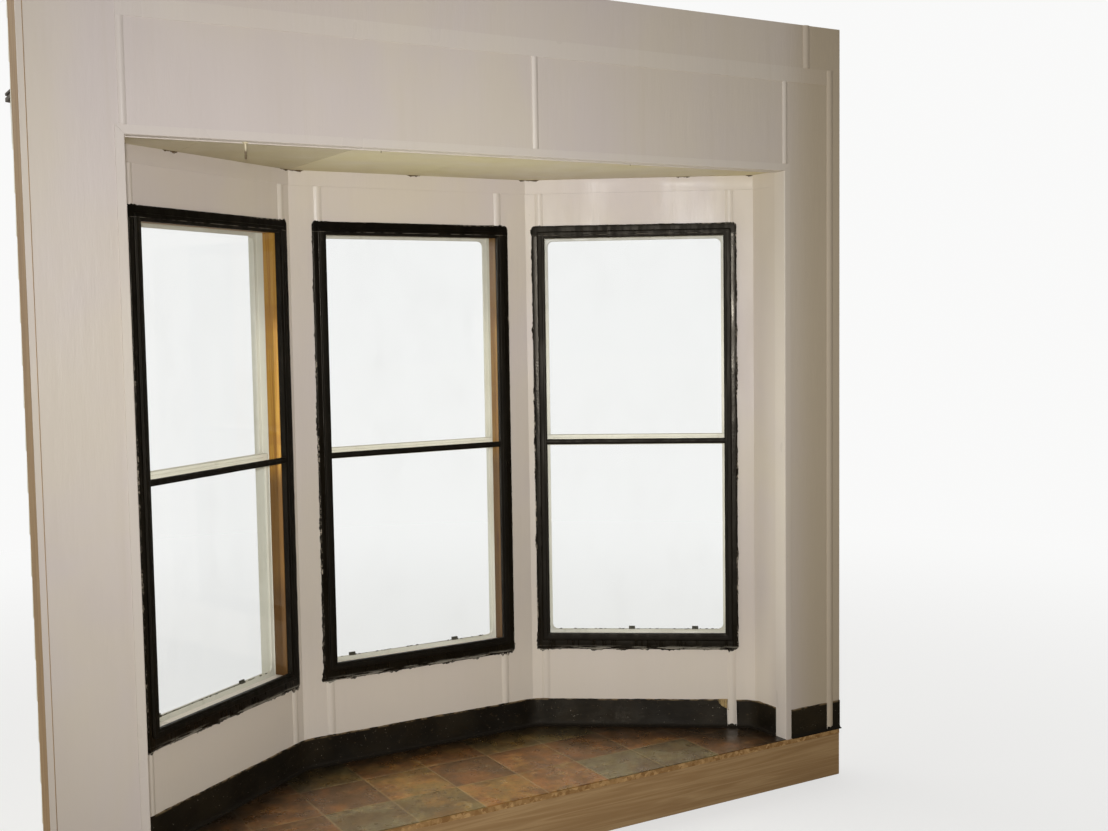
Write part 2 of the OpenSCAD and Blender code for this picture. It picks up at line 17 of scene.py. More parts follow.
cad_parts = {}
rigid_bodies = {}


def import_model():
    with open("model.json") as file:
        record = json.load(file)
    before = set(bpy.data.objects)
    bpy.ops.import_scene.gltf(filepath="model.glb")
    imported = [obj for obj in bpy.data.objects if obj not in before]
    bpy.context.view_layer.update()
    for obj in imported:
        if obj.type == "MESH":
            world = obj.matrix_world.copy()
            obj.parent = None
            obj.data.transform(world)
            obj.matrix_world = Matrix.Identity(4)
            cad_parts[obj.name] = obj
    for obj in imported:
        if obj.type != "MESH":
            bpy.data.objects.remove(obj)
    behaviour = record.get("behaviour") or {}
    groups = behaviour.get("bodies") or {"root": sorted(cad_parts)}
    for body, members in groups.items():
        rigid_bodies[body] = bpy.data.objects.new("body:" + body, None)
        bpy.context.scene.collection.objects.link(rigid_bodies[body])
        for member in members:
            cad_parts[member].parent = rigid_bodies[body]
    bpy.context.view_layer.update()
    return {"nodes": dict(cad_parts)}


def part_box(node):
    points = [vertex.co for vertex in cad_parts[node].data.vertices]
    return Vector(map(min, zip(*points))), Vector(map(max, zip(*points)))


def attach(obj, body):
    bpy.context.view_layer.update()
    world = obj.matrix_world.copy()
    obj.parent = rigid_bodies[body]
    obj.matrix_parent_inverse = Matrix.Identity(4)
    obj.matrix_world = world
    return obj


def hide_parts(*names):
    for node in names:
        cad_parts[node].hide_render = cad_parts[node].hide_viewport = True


for thing in list(bpy.data.objects):
    bpy.data.objects.remove(thing)
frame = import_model()
SEED = 7
draw = random.Random(SEED)

# Camera, matched to the photograph: degrees to the right, down and about the line of sight
EYE = (-1.7717, -3.6638, 1.5335)
YAW, TILT, ROLL = 30.578, 4.166, -0.867
LENS = 43.194

# Black window frames, from their outer edge: flange, lip and inner edge at the sides, head and sill
FLANGE = (0.020, 0.020, 0.032)
LIP = (0.034, 0.032, 0.046)
STILE = (0.042, 0.040, 0.054)
REBATE = 0.006
RAIL_UP, RAIL_H = 0.701, 0.017
LINER = (0.019, 0.019, 0.012)
# Outer windows: the lower sash's bottom rail, from the frame's foot, and the latches on it
SASH_RAIL, LATCH_H, LATCH_SHOWN = 0.023, 0.015, 0.009
# How far below the CAD's the meeting rails are, and the pull along them
MEETING_DROP = 0.018
PULL_H, PULL_T, PULL_DOWN, PULL_IN = 0.004, 0.003, 0.003, 0.040

# Outside trim and siding
POST_LEG = 0.034
LAP_H, LAP_LIP, LAP_TAIL, LAP_EDGE = 0.102, 0.0135, 0.0025, 0.004

# Inside trim
MOULD_FACE, MOULD_BACK = 0.020, 0.046
BASE_H, BASE_T, TOE_W, TOE_T = 0.095, 0.003, 0.012, 0.0015
BEND_JAMB, BEND_CORNER = 0.060, 0.100
BATTEN_W, BATTEN_T = 0.026, 0.006
SLOT_HALF = 0.014
PLANK_JOINT = -0.406
RIGHT_BATTEN_IN = 0.022
WING_BATTEN = 0.187

# Roof
PITCH = math.radians(18)
SLOPE = math.tan(PITCH)
EAVE_RISE, ROOF_T = 0.095, 0.022
FELT_T = 0.010
SHINGLE_W, SHINGLE_H, SHINGLE_T, SHINGLE_GAP, SHINGLE_LAP = 0.305, 0.125, 0.0035, 0.006, 0.02
CAP_W, CAP_T, CAP_LAP, CAPS = 0.095, 0.003, 0.03, 12
# How high shingles and caps lie over the felt at their head and foot, and the tabs of a row, which
# runs past both ends of its face
TAB_LIFT, CAP_LIFT, TABS = (0.0004, 0.0052), (0.0062, 0.0084), range(-4, 9)

# Framing
STUD_T, SHEATHING, STUD_STEP = 0.038, 0.011, 0.406
HEADER_H = 0.20

# A reach past every edge of the bay, for what is then trimmed to it
BEYOND = 2


def node_points(node):
    """The corners of a CAD node's mesh, one row each."""
    return np.array([v.co for v in frame["nodes"][node].data.vertices])


class Face:
    """An upright face of the part, from one plan point to the next."""

    def __init__(self, start, end):
        along = Vector((*end, 0)) - Vector((*start, 0))
        self.start, self.length = Vector((*start, 0)), along.length
        self.along = along.normalized()
        self.out = Vector((-self.along.y, self.along.x, 0))
        self.offset = self.start.dot(self.out)
        self.matrix = Matrix((self.along, self.out, Vector((0, 0, 1)))).transposed().to_4x4()
        self.matrix.translation = self.start

    def at(self, s, n, z):
        return self.start + self.along * s + self.out * n + Vector((0, 0, z))

    def plan(self, corners):
        """An outline in plan, from the (s, n) of its corners."""
        return [Vector((*self.at(s, n, 0).xy, 0)) for s, n in corners]

    def turned(self, node):
        """The (s, n, z) of a CAD node's points, one row each."""
        return (node_points(node) - np.array(self.start)) @ np.array(self.matrix.to_3x3())

    def reach(self, node):
        """Lowest and highest (s, n, z) of a CAD node."""
        return self.turned(node).min(0), self.turned(node).max(0)


FLOOR_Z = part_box("floor_covering")[1].z
SOFFIT_Z, PLATE_Z = (corner.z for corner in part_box("ceiling_panel"))
ROOF_Z = PLATE_Z + EAVE_RISE
WALL_LOW, WALL_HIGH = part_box("wall_panel")
WALL_Y, PANEL_T = WALL_LOW.y, WALL_HIGH.y - WALL_LOW.y
WING_X, WALL_TOP = WALL_HIGH.x, WALL_HIGH.z
DECK_Z, SIDING_LOW = WALL_LOW.z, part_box("wall_siding")[0].z
CORE_N, SKIN_N = (corner.y - WALL_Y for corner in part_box("wall_siding"))
# The floor's corners in plan, from left to right
plan = sorted({(round(x, 5), round(y, 5)) for x, y, _ in node_points("floor_covering")})
HALF_W, BACK_Y = plan[5][0], plan[2][1]
EAVE_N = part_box("fascia")[1].y - BACK_Y
DRIP_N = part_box("roof_covering")[1].y - BACK_Y

LEFT, MIDDLE, RIGHT = Face(plan[1], plan[2]), Face(plan[2], plan[3]), Face(plan[3], plan[5])
LEFT_RETURN, RIGHT_RETURN = Face(plan[0], plan[1]), Face(plan[5], plan[4])
WALL = Face((-WING_X, WALL_Y), (WING_X, WALL_Y))
# A face's own axes, for pieces that are made in them
FLAT = Face((0, 0), (1, 0))
ROUND = [LEFT_RETURN, LEFT, MIDDLE, RIGHT, RIGHT_RETURN]
WINDOWS = {"left": LEFT, "centre": MIDDLE, "right": RIGHT}


# Meshes

def rectangle(a0, b0, a1, b1):
    """The corners of a rectangle, in turn."""
    return (a0, b0), (a1, b0), (a1, b1), (a0, b1)


def waver(*place):
    """A smooth random number round 0 for a place."""
    return noise.noise(Vector(place))


def clip(outline, normal, limit):
    """The part of a convex outline where the product with normal is at most limit."""
    kept = []
    for here, there in zip(outline, outline[1:] + outline[:1]):
        a, b = here.dot(normal) - limit, there.dot(normal) - limit
        if a <= 0:
            kept.append(here)
        if a * b < 0:
            kept.append(here.lerp(there, a / (a - b)))
    return kept if len(kept) > 2 else []


def clip_all(outline, limits):
    for normal, limit in limits:
        outline = clip(outline, normal, limit) if outline else []
    return outline


def cut_away(outline, limits):
    """The convex pieces of an outline that lie outside a convex hole."""
    pieces = []
    for normal, limit in limits:
        if outline:
            pieces.append(clip(outline, -normal, -limit))
            outline = clip(outline, normal, limit)
    return [piece for piece in pieces if piece]


def area(outline):
    return sum((
        (b - outline[0]).cross(c - outline[0]) for b, c in zip(outline[1:], outline[2:])
    ), Vector()).length / 2


class Shape:
    """Closed solids gathered into one mesh. Each has its own tone, and a grain that runs along one
    axis from a place of its own. A mark is a number for the finish, given loop by loop."""

    def __init__(self):
        self.points, self.faces, self.grain, self.tone, self.mark = [], [], [], [], []

    def loft(self, loops, grain=0, ring=False, marks=None):
        """One solid through loops of points, closed by its two ends or, as a ring, on itself."""
        first, size = len(self.points), len(loops[0])
        order = (grain, (grain + 1) % 3, (grain + 2) % 3)
        away = Vector([draw.uniform(-9, 9) for _ in order])
        tone = draw.random()
        for point in (point for each in loops for point in each):
            self.points.append(tuple(point))
            self.grain.append(tuple(point[axis] + away[i] for i, axis in enumerate(order)))
            self.tone.append(tone)
        self.mark += [marks[k] if marks else 0.0 for k in range(len(loops)) for _ in range(size)]
        for k in range(len(loops) if ring else len(loops) - 1):
            here, there = first + k * size, first + (k + 1) % len(loops) * size
            for i in range(size):
                j = (i + 1) % size
                self.faces.append((here + i, here + j, there + j, there + i))
        if not ring:
            self.faces.append(tuple(first + i for i in reversed(range(size))))
            self.faces.append(tuple(first + (len(loops) - 1) * size + i for i in range(size)))

    def box(self, low, high, grain=0):
        x0, y0, z0 = low
        x1, y1, z1 = high
        self.prism(rectangle(x0, y0, x1, y1), z0, z1, grain)

    def prism(self, outline, z0, z1, grain=0):
        """Stands an outline in plan up between two heights."""
        self.loft([[(p[0], p[1], z) for p in outline] for z in (z0, z1)], grain)

    def build(self, name, *looks, **more):
        """Makes the mesh a piece, with the looks that add_piece takes."""
        mesh = bpy.data.meshes.new(name)
        mesh.from_pydata(self.points, [], self.faces)
        grain = mesh.attributes.new("grain", "FLOAT_VECTOR", "POINT")
        grain.data.foreach_set("vector", np.array(self.grain, np.float32).ravel())
        for label, values in (("tone", self.tone), ("mark", self.mark)):
            layer = mesh.attributes.new(label, "FLOAT", "POINT")
            layer.data.foreach_set("value", np.array(values, np.float32))
        return add_piece(name, mesh, *looks, **more)


def into_scene(name, data):
    """Puts an object of that data into the scene."""
    thing = bpy.data.objects.new(name, data)
    bpy.context.scene.collection.objects.link(thing)
    return thing


def add_piece(name, mesh, finish, slot, replaces=(), face=None, bevel=0, smooth=30):
    """Puts a mesh into the scene as a piece: outward faces, rounded edges, finish and body."""
    tidy = bmesh.new()
    tidy.from_mesh(mesh)
    bmesh.ops.recalc_face_normals(tidy, faces=tidy.faces)
    tidy.to_mesh(mesh)
    tidy.free()
    piece = into_scene(name, mesh)
    if face:
        piece.matrix_world = face.matrix
    if bevel:
        rounding = piece.modifiers.new("rounding", "BEVEL")
        rounding.width, rounding.segments = bevel, 2
        rounding.limit_method, rounding.angle_limit = "ANGLE", math.radians(40)
    mesh.shade_smooth()
    mesh.set_sharp_from_angle(angle=math.radians(smooth))
    mesh.materials.append(finish)
    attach(piece, "root")
    if replaces:
        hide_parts(*replaces)
    return piece


def refine(node, name, finish, slot, bevel):
    """Rebuilds a CAD node as a piece of the same shape, with its flat faces whole and its edges
    rounded."""
    whole = bmesh.new()
    whole.from_mesh(frame["nodes"][node].data)
    bmesh.ops.remove_doubles(whole, verts=whole.verts, dist=1e-5)
    bmesh.ops.dissolve_limit(
        whole, angle_limit=math.radians(0.5), verts=whole.verts, edges=whole.edges
    )
    plain = bpy.data.meshes.new(name)
    whole.to_mesh(plain)
    whole.free()
    return add_piece(name, plain, finish, slot, (node,), None, bevel)


CORNER_STEPS, LOOP_SPACING = 5, 0.0045


def soft_loop(rect, insets, n, radius):
    """A rectangle in a face's plane, inset at its sides, top and bottom, with round corners."""
    s0, z0, s1, z1 = rect
    side, top, bottom = insets
    across, up = (max(1, round(size / LOOP_SPACING)) for size in (s1 - s0, z1 - z0))
    s0, s1, z0, z1 = s0 + side + radius, s1 - side - radius, z0 + bottom + radius, z1 - top - radius
    arcs = [[
        Vector((s + radius * math.cos(turn), n, z + radius * math.sin(turn)))
        for turn in (math.radians(start + 90 * step / CORNER_STEPS) for step in range(CORNER_STEPS + 1))
    ] for s, z, start in ((s1, z0, -90), (s1, z1, 0), (s0, z1, 90), (s0, z0, 180))]
    points = []
    for arc, after, count in zip(arcs, arcs[1:] + arcs[:1], (up, across, up, across)):
        points += arc + [arc[-1].lerp(after[0], i / count) for i in range(1, count)]
    return points


# Finishes

def colour(screen):
    """A colour written as on a screen, such as #ffffff, as the shaders need it."""
    parts = [value / 255 for value in bytes.fromhex(screen[1:])]
    return (*(v / 12.92 if v <= 0.04045 else ((v + 0.055) / 1.055) ** 2.4 for v in parts), 1)


class Nodes:
    """A shader tree, built node by node."""

    def __init__(self, tree, output):
        self.tree, self.output = tree, tree.nodes[output]

    def add(self, kind, inputs=(), **settings):
        node = self.tree.nodes.new(kind)
        for key, value in settings.items():
            setattr(node, key, value)
        for key, value in dict(inputs).items():
            self.put(node.inputs[key], value)
        return node

    def put(self, socket, value):
        """Gives an input a value, a colour, an output or what a node puts out first."""
        if isinstance(value, bpy.types.Node):
            value = value.outputs[0]
        if isinstance(value, bpy.types.NodeSocket):
            self.tree.links.new(value, socket)
        else:
            socket.default_value = colour(value) if isinstance(value, str) else value

    def split(self, vector):
        return self.add("ShaderNodeSeparateXYZ", {"Vector": vector}).outputs

    def math(self, operation, *values):
        return self.add("ShaderNodeMath", enumerate(values), operation=operation)

    def times(self, *factors):
        *others, product = factors
        for factor in reversed(others):
            product = self.math("MULTIPLY", factor, product)
        return product

    def between(self, value, low, high, to_low=0.0, to_high=1.0):
        """Runs smoothly from one end to the other as value goes from low to high."""
        return self.add("ShaderNodeMapRange", {
            "Value": value, "From Min": low, "From Max": high, "To Min": to_low, "To Max": to_high
        }, interpolation_type="SMOOTHSTEP")

    def mix(self, factor, first, second):
        inputs = {"Factor": factor, 6: first, 7: second}
        return self.add("ShaderNodeMix", inputs, data_type="RGBA").outputs[2]

    def blend(self, factor, first, second):
        """A mix of two shaders."""
        return self.add("ShaderNodeMixShader", {"Fac": factor, 1: first, 2: second})

    def show(self, shader):
        self.put(self.output.inputs["Surface"], shader)


class Finish(Nodes):
    """One procedural material on the Principled shader, whose base colour is laid on in coats."""

    def __init__(self, name, roughness=0.5, specular=0.5, grain=False):
        self.material = bpy.data.materials.new(name)
        self.material.use_nodes = True
        super().__init__(self.material.node_tree, "Material Output")
        self.shader = self.tree.nodes["Principled BSDF"]
        self.set("Roughness", roughness)
        self.set("Specular IOR Level", specular)
        if grain:
            self.place = self.add("ShaderNodeAttribute", attribute_name="grain").outputs["Vector"]
        else:
            self.place = self.add("ShaderNodeTexCoord").outputs["Object"]

    def set(self, name, value):
        self.put(self.shader.inputs[name], value)

    def layer(self, name):
        """What a Shape says of its points: their tone or mark."""
        return self.add("ShaderNodeAttribute", attribute_name=name).outputs["Fac"]

    def geometry(self, name):
        """The X, Y and Z of the position or normal in the part's frame."""
        return self.split(self.add("ShaderNodeNewGeometry").outputs[name])

    def stretch(self, scale):
        """The place, scaled by a number or by one for each axis, in features a metre."""
        axes = scale if isinstance(scale, tuple) else (scale,) * 3
        return self.add("ShaderNodeMapping", {"Vector": self.place, "Scale": axes})

    def noise(self, scale, detail=3, rough=0.5, twist=0.0):
        """Soft noise from 0 to 1."""
        return self.add("ShaderNodeTexNoise", {
            "Vector": self.stretch(scale), "Scale": 1.0, "Detail": detail,
            "Roughness": rough, "Distortion": twist
        })

    def cells(self, scale):
        """Cells round scattered points: the distance to a cell's point, and a colour for each."""
        return self.add("ShaderNodeTexVoronoi", {"Vector": self.stretch(scale), "Scale": 1.0}).outputs

    def cloud(self, scale, low, high, ends=(0.0, 1.0), detail=3, rough=0.5, twist=0.0):
        """Runs smoothly from one end to the other as noise goes from low to high."""
        return self.between(self.noise(scale, detail, rough, twist), low, high, *ends)

    def coat(self, tint, *factors):
        """Lays a colour over the base, as thick as the product of its factors."""
        self.base = self.mix(self.times(*factors), self.base, tint)

    def mottle(self, tint, scale, low, high, most, detail=3, rough=0.5):
        """Lays a colour over the base in patches, where noise is above low."""
        self.coat(tint, self.cloud(scale, low, high, (0.0, most), detail, rough))

    def ramp(self, value, *colours):
        """Even steps of colour from 0 to 1."""
        node = self.add("ShaderNodeValToRGB", {"Fac": value})
        stops = node.color_ramp.elements
        for _ in colours[2:]:
            stops.new(1)
        for k, (stop, each) in enumerate(zip(stops, colours)):
            stop.position, stop.color = k / (len(colours) - 1), colour(each)
        return node

    def bump(self, height, depth):
        """Relief of up to depth metres, over any that is there."""
        socket = self.shader.inputs["Normal"]
        inputs = {"Height": height, "Distance": depth, "Strength": 1.0}
        if socket.is_linked:
            inputs["Normal"] = socket.links[0].from_socket
        self.put(socket, self.add("ShaderNodeBump", inputs))

    def end(self, roughness=None):
        self.set("Base Color", self.base)
        if roughness is not None:
            self.set("Roughness", roughness)
        return self.material


def wall_paint(name, warm, cool, grime_and_shade, gloss=0.42, shaded=False):
    """Old off-white paint: warm and cool patches, faint streaks, scuffs and a brushed surface. It has
    painted shade, darker towards the wall's right end, and painted light, paler low in the bay. shaded
    adds painted shade on the planks to the left of one joint of the ceiling."""
    paint = Finish(name, specular=0.4)
    x, y, z = paint.split(paint.place)
    patches = paint.cloud((2.2, 2.2, 1.3), 0.34, 0.66, detail=4, rough=0.55, twist=0.4)
    paint.base = paint.mix(patches, warm, cool)
    paint.mottle(grime_and_shade, (26, 26, 0.9), 0.50, 0.85, 0.14, rough=0.6)
    broad = paint.cloud((1.1, 1.1, 0.8), 0.42, 0.75, (0.0, 0.22))
    # Broad grime patches, and painted shade that grows darker towards the wall's right end
    paint.coat(grime_and_shade, paint.math("MAXIMUM", broad, paint.between(x, 0.97, 1.16, 0.0, 0.9)))
    # With shaded, painted shade on the ceiling planks to the left of one joint, darkest nearer the joint
    if shaded:
        paint.coat(
            "#aca086", paint.between(x, -0.95, -0.70, 0.15, 0.45),
            paint.between(x, PLANK_JOINT - 0.003, PLANK_JOINT + 0.003, 1.0, 0.0)
        )
    # Painted light: paler and warmer low down inside the bay
    paint.coat(
        "#e4dacb", paint.between(y, WALL_Y + 0.03, WALL_Y + 0.10),
        paint.between(z, FLOOR_Z + 0.15, FLOOR_Z + 0.50, 0.75, 0.0)
    )
    paint.mottle("#786e62", (42, 42, 30), 0.72, 0.82, 0.3, 5, 0.7)
    paint.bump(paint.noise((60, 60, 9), 4, 0.6), 0.0007)
    paint.bump(paint.noise(420, 2), 0.00012)
    return paint.end(paint.cloud((8, 8, 3), 0.3, 0.7, (gloss - 0.08, gloss + 0.14)))


def timber(name, light, dark, grain=True, rough=0.7, axis=0, knots=0.0, bands_and_shade=0.0):
    """Sawn wood, with its grain along one axis of its place. Finished boards can get bands that run
    across the grain, at a strength given, and then painted shade, darker low down and to the right."""
    wood = Finish(name, grain=grain, specular=0.3)

    def lengthways(along, across):
        return tuple(along if k == axis else across for k in range(3))

    rings = wood.cloud(lengthways(1.1, 30), 0.3, 0.7, twist=0.7)
    fibres = wood.noise(lengthways(7, 420), 3, 0.6)
    wood.base = wood.ramp(rings, dark, light, dark, light)
    wood.coat(dark, wood.between(fibres, 0.35, 0.75, 0.0, 0.5))
    if bands_and_shade:
        wood.mottle(dark, lengthways(15, 3), 0.5, 0.62, bands_and_shade, 2)
        # Painted shade: darker below two heights of the windows and towards the right
        x, _, z = wood.geometry("Position")
        for along, low, high, most in (
            (z, 1.13, 1.04, 0.80), (z, 0.79, 0.70, 0.95), (x, -0.38, 0.10, 0.50)
        ):
            wood.coat("#302011", wood.between(along, low, high, 0.0, most))
    wood.coat(dark, wood.layer("tone"), 0.28)
    if knots:
        near = wood.cells(lengthways(2.3, 9))["Distance"]
        wood.coat("#4a2a14", wood.between(near, 0.05, 0.16, knots, 0.0))
    wood.bump(fibres, 0.00025)
    return wood.end(wood.between(fibres, 0.3, 0.7, rough - 0.1, rough + 0.1))


WALL_PAINT = wall_paint("wall_paint", "#d3cabd", "#d0c7c3", "#beb19a")
TRIM_PAINT = wall_paint("trim_paint", "#d7cfc3", "#d4ccc6", "#c2b5a0", 0.34)
CEILING_PAINT = wall_paint("ceiling_paint", "#e1d8b0", "#dcd3bb", "#d0c38c", 0.5, True)
PINE = timber("pine_framing", "#ba9c72", "#a08058", knots=0.6)
PINE_X = timber("pine_core_x", "#d6b27c", "#b08450", grain=False)
PINE_Z = timber("pine_core_z", "#d6b27c", "#b08450", grain=False, axis=2)
LINER_WOOD = timber("liner_wood", "#b58c38", "#8f6224", rough=0.42, knots=0.9, bands_and_shade=0.5)


def chip_board():
    """Pressed board of wood chips."""
    board = Finish("floor_board", roughness=0.85, specular=0.2)
    light, dark = "#c4a06e", "#8e6a40"
    board.base = board.mix(board.split(board.cells(90)["Color"])[0], light, dark)
    board.mottle(dark, 60, 0.45, 0.7, 0.7, rough=0.6)
    board.bump(board.noise(160), 0.0006)
    return board.end()


FLOOR_BOARD = chip_board()

# Printed slate: the side of a square, the width of a joint, and where two joints cross in plan
SLATE_SIZE, SLATE_JOINT, SLATE_CROSSING = 0.2062, 0.0022, (0.123, 0.0)


def slate_vinyl():
    """Sheet vinyl printed as squares of slate, each with a tone of its own, and darkened along the
    baseboard by painted shade with some dirt."""
    vinyl = Finish("slate_vinyl")
    squares = [
        vinyl.math("DIVIDE", vinyl.math("SUBTRACT", along, joint), SLATE_SIZE)
        for along, joint in zip(vinyl.split(vinyl.place), SLATE_CROSSING)
    ]
    number = vinyl.add("ShaderNodeCombineXYZ", enumerate(vinyl.math("FLOOR", each) for each in squares))
    tone = vinyl.add("ShaderNodeTexWhiteNoise", {"Vector": number}, noise_dimensions="3D")
    pick = vinyl.math("ADD", tone, vinyl.cloud(10, 0.3, 0.7, (-0.15, 0.15), 5, 0.62, 0.4))
    vinyl.base = vinyl.ramp(
        pick, "#70502e", "#885a2e", "#9a6632", "#a0763a", "#8a703c", "#7a6a40", "#7e7250", "#745e3a"
    )
    vinyl.mottle("#543d1f", 15, 0.38, 0.62, 0.6, 5, 0.7)
    vinyl.mottle("#4a331b", 64, 0.46, 0.68, 0.45, 5, 0.72)
    vinyl.mottle("#ae925e", 27, 0.56, 0.74, 0.4, 4, 0.7)
    wander = vinyl.times(vinyl.noise(14), 0.006)
    edges = []
    for square in squares:
        inside = vinyl.math("FRACT", square)
        near = vinyl.math("MINIMUM", inside, vinyl.math("SUBTRACT", 1.0, inside))
        edges.append(vinyl.math("ADD", near, wander))
    edge = vinyl.math("MINIMUM", *edges)
    joint = SLATE_JOINT / SLATE_SIZE
    vinyl.coat("#a28a62", vinyl.between(edge, joint, 2.2 * joint, 0.4, 0.0))
    # Painted shade with some dirt: darker close to the bay's faces, along the baseboard
    gap = 1.0
    for face in ROUND:
        reach = vinyl.add("ShaderNodeVectorMath", {0: vinyl.place, 1: face.out}, operation="DOT_PRODUCT")
        gap = vinyl.math("MINIMUM", gap, vinyl.math("SUBTRACT", face.offset, reach.outputs["Value"]))
    gap = vinyl.math("ADD", gap, vinyl.cloud(13, 0.3, 0.7, (-0.03, 0.03), 4, 0.6))
    vinyl.coat("#16120c", vinyl.between(gap, -0.02, 0.29, 0.97, 0.0))
    vinyl.bump(vinyl.noise(36, 4, 0.6), 0.0008)
    vinyl.bump(vinyl.between(edge, 0, 0.04), 0.0007)
    return vinyl.end(vinyl.cloud(22, 0.3, 0.7, (0.24, 0.42)))


SLATE = slate_vinyl()


def black_paint():
    """Black brushed over metal by hand, with grey smears along the sill, pale chips at the edge and a
    scratched line at the head. Its mark is how far in from the frame's outer edge a point is."""
    specular = 0.25
    black = Finish("black_paint", specular=specular)
    black.set("Specular Tint", (1.0, 0.90, 0.74, 1))
    edge, height = black.layer("mark"), black.split(black.place)[2]
    sill, head = (corner.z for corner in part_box("left_inner_frame"))
    joint = head - LIP[1] + 0.001
    wash = black.cloud((30, 30, 6), 0.4, 0.75, detail=4)
    black.base = black.mix(wash, "#040302", "#0e0b07")
    black.mottle("#36322c", (70, 70, 30), 0.62, 0.72, 0.4, 5, 0.75)
    black.coat(
        "#b2a898", black.between(edge, 0.001, 0.005, 1.0, 0.0), black.cloud(4, 0.46, 0.56, (0.05, 0.9), 2),
        black.cloud((95, 95, 60), 0.52, 0.58, detail=5, rough=0.75)
    )
    black.coat(
        "#969286", black.between(height, sill + 0.002, sill + 0.015, 1.0, 0.0),
        black.cloud((11, 11, 120), 0.48, 0.55, (0.0, 0.9), 5, 0.7)
    )
    off = black.math("ABSOLUTE", black.math("SUBTRACT", height, joint))
    black.coat("#787268", black.between(off, 0.0003, 0.0009, 0.8, 0.0), black.cloud(40, 0.4, 0.6, detail=2))
    black.bump(black.noise((240, 240, 30)), 0.0003)
    black.bump(black.noise(120), 0.0003)
    streaks = black.cloud((60, 60, 5), 0.4, 0.65, (0.38, 0.22), rough=0.6)
    inner = black.between(edge, FLANGE[0] - 0.002, FLANGE[0] + 0.001, 0.0, 0.24)
    dull = black.math("MAXIMUM", inner, black.between(height, joint - 0.004, joint, 0.0, 0.24))
    above = black.between(height, joint - 0.004, joint, 0.0, 0.15)
    shy = black.times(above, black.between(black.geometry("Position")[0], 0.35, 0.45, 1.0, 0.0))
    black.set("Specular IOR Level", black.math("SUBTRACT", specular, shy))
    return black.end(black.math("ADD", streaks, dull))


BLACK = black_paint()


def clear_glass():
    """Thin clear glass, with dust that gathers in faint clouds."""
    glass = Finish("clear_glass", roughness=0.9)
    glass.base = glass.mix(glass.noise(20), "#ced0c8", "#bcbaac")
    sheet = glass.add("ShaderNodeBsdfTransparent", {"Color": (0.996, 0.999, 0.998, 1)})
    gloss = glass.add("ShaderNodeBsdfGlossy", {"Roughness": 0.02})
    facing = glass.add("ShaderNodeLayerWeight", {"Blend": 0.5}).outputs["Facing"]
    mirror = glass.math("MULTIPLY_ADD", glass.math("POWER", facing, 4.5), 0.7, 0.012)
    dust = glass.cloud((5, 5, 3), 0.46, 0.80, (0.003, 0.018), 5, 0.65)
    glass.show(glass.blend(dust, glass.blend(mirror, sheet, gloss), glass.shader))
    return glass.end()


GLASS = clear_glass()


def coated(name, main, shade, grime_and_shade, roughness, tip_shade=0.0, dust=0.0):
    """Weathered coating or vinyl, with dirt in streaks and a little in spots. It can take painted shade,
    dark brown, where the mark is near 1, and dust and painted shade on what looks up, as much as asked."""
    coat = Finish(name, specular=0.4)
    coat.base = coat.mix(coat.cloud(3.5, 0.35, 0.65, detail=4), main, shade)
    coat.mottle(grime_and_shade, (30, 30, 2.5), 0.52, 0.86, 0.4, 4, 0.6)
    coat.mottle(grime_and_shade, 150, 0.68, 0.76, 0.6, rough=0.7)
    # Painted shade: dark brown where the mark is near 1, along a hook's lower part
    if tip_shade:
        coat.coat("#5c462c", coat.between(coat.layer("mark"), 0.12, 0.32, 0.0, tip_shade))
    # Dust and painted shade: darker on faces that look up
    if dust:
        coat.coat(grime_and_shade, coat.between(coat.geometry("Normal")[2], 0.5, 0.9, 0.0, dust))
    coat.bump(coat.noise((12, 12, 160)), 0.0003)
    return coat.end(coat.cloud(18, 0.3, 0.7, (roughness - 0.08, roughness + 0.1)))


# White metal greyer than new white: partly age and dirt, partly painted shade, as its faces toward the room
# lie in shade
WHITE_METAL = coated("white_metal", "#d2d0c4", "#c6c3b4", "#968f78", 0.42, dust=0.6)
CREAM_SIDING = coated("cream_siding", "#ece7d3", "#e7e1ca", "#d0c7ae", 0.5)
OUTSIDE_WHITE = coated("outside_white", "#e2e1da", "#d8d6cc", "#a8a08c", 0.5)
ZINC = coated("zinc", "#a8aaaa", "#949696", "#706c64", 0.4)
# The hooks are painted dark brown along their lower part, as shade
HOOK_METAL = coated("hook_metal", "#d8ceb2", "#ccc0a0", "#96825c", 0.5, tip_shade=0.85)
LATCH_METAL = coated("latch_metal", "#46443a", "#36342c", "#26221a", 0.5)


def cove_vinyl():
    """Charcoal-brown vinyl with specks, brown rubs, old paint along its top edge and a toe darkened by
    painted shade and dirt.
    """
    cove = Finish("cove_vinyl", specular=0.3)
    cove.set("Specular Tint", (1.0, 0.92, 0.78, 1))
    height, top = cove.split(cove.place)[2], FLOOR_Z + BASE_H
    cove.base = cove.mix(cove.cloud(7, 0.35, 0.7, detail=4), "#100d09", "#221c12")
    cove.mottle("#584a34", (60, 60, 90), 0.60, 0.72, 0.6, 5, 0.7)
    cove.coat(
        "#8c785a", cove.between(height, top - 0.009, top - 0.002),
        cove.cloud((26, 26, 60), 0.44, 0.58, (0.0, 0.85), 4, 0.7)
    )
    cove.mottle("#b0a896", 190, 0.71, 0.76, 0.9, 2, 0.6)
    cove.bump(cove.noise((30, 30, 70)), 0.0008)
    # Painted shade with dirt: the toe darker near the floor
    toe = cove.between(height, FLOOR_Z + 0.004, FLOOR_Z + 0.022, 0.85, 0.0)
    cove.coat("#140f09", toe)
    return cove.end(cove.math("MAXIMUM", toe, cove.cloud(12, 0.3, 0.7, (0.4, 0.6))))


COVE_VINYL = cove_vinyl()


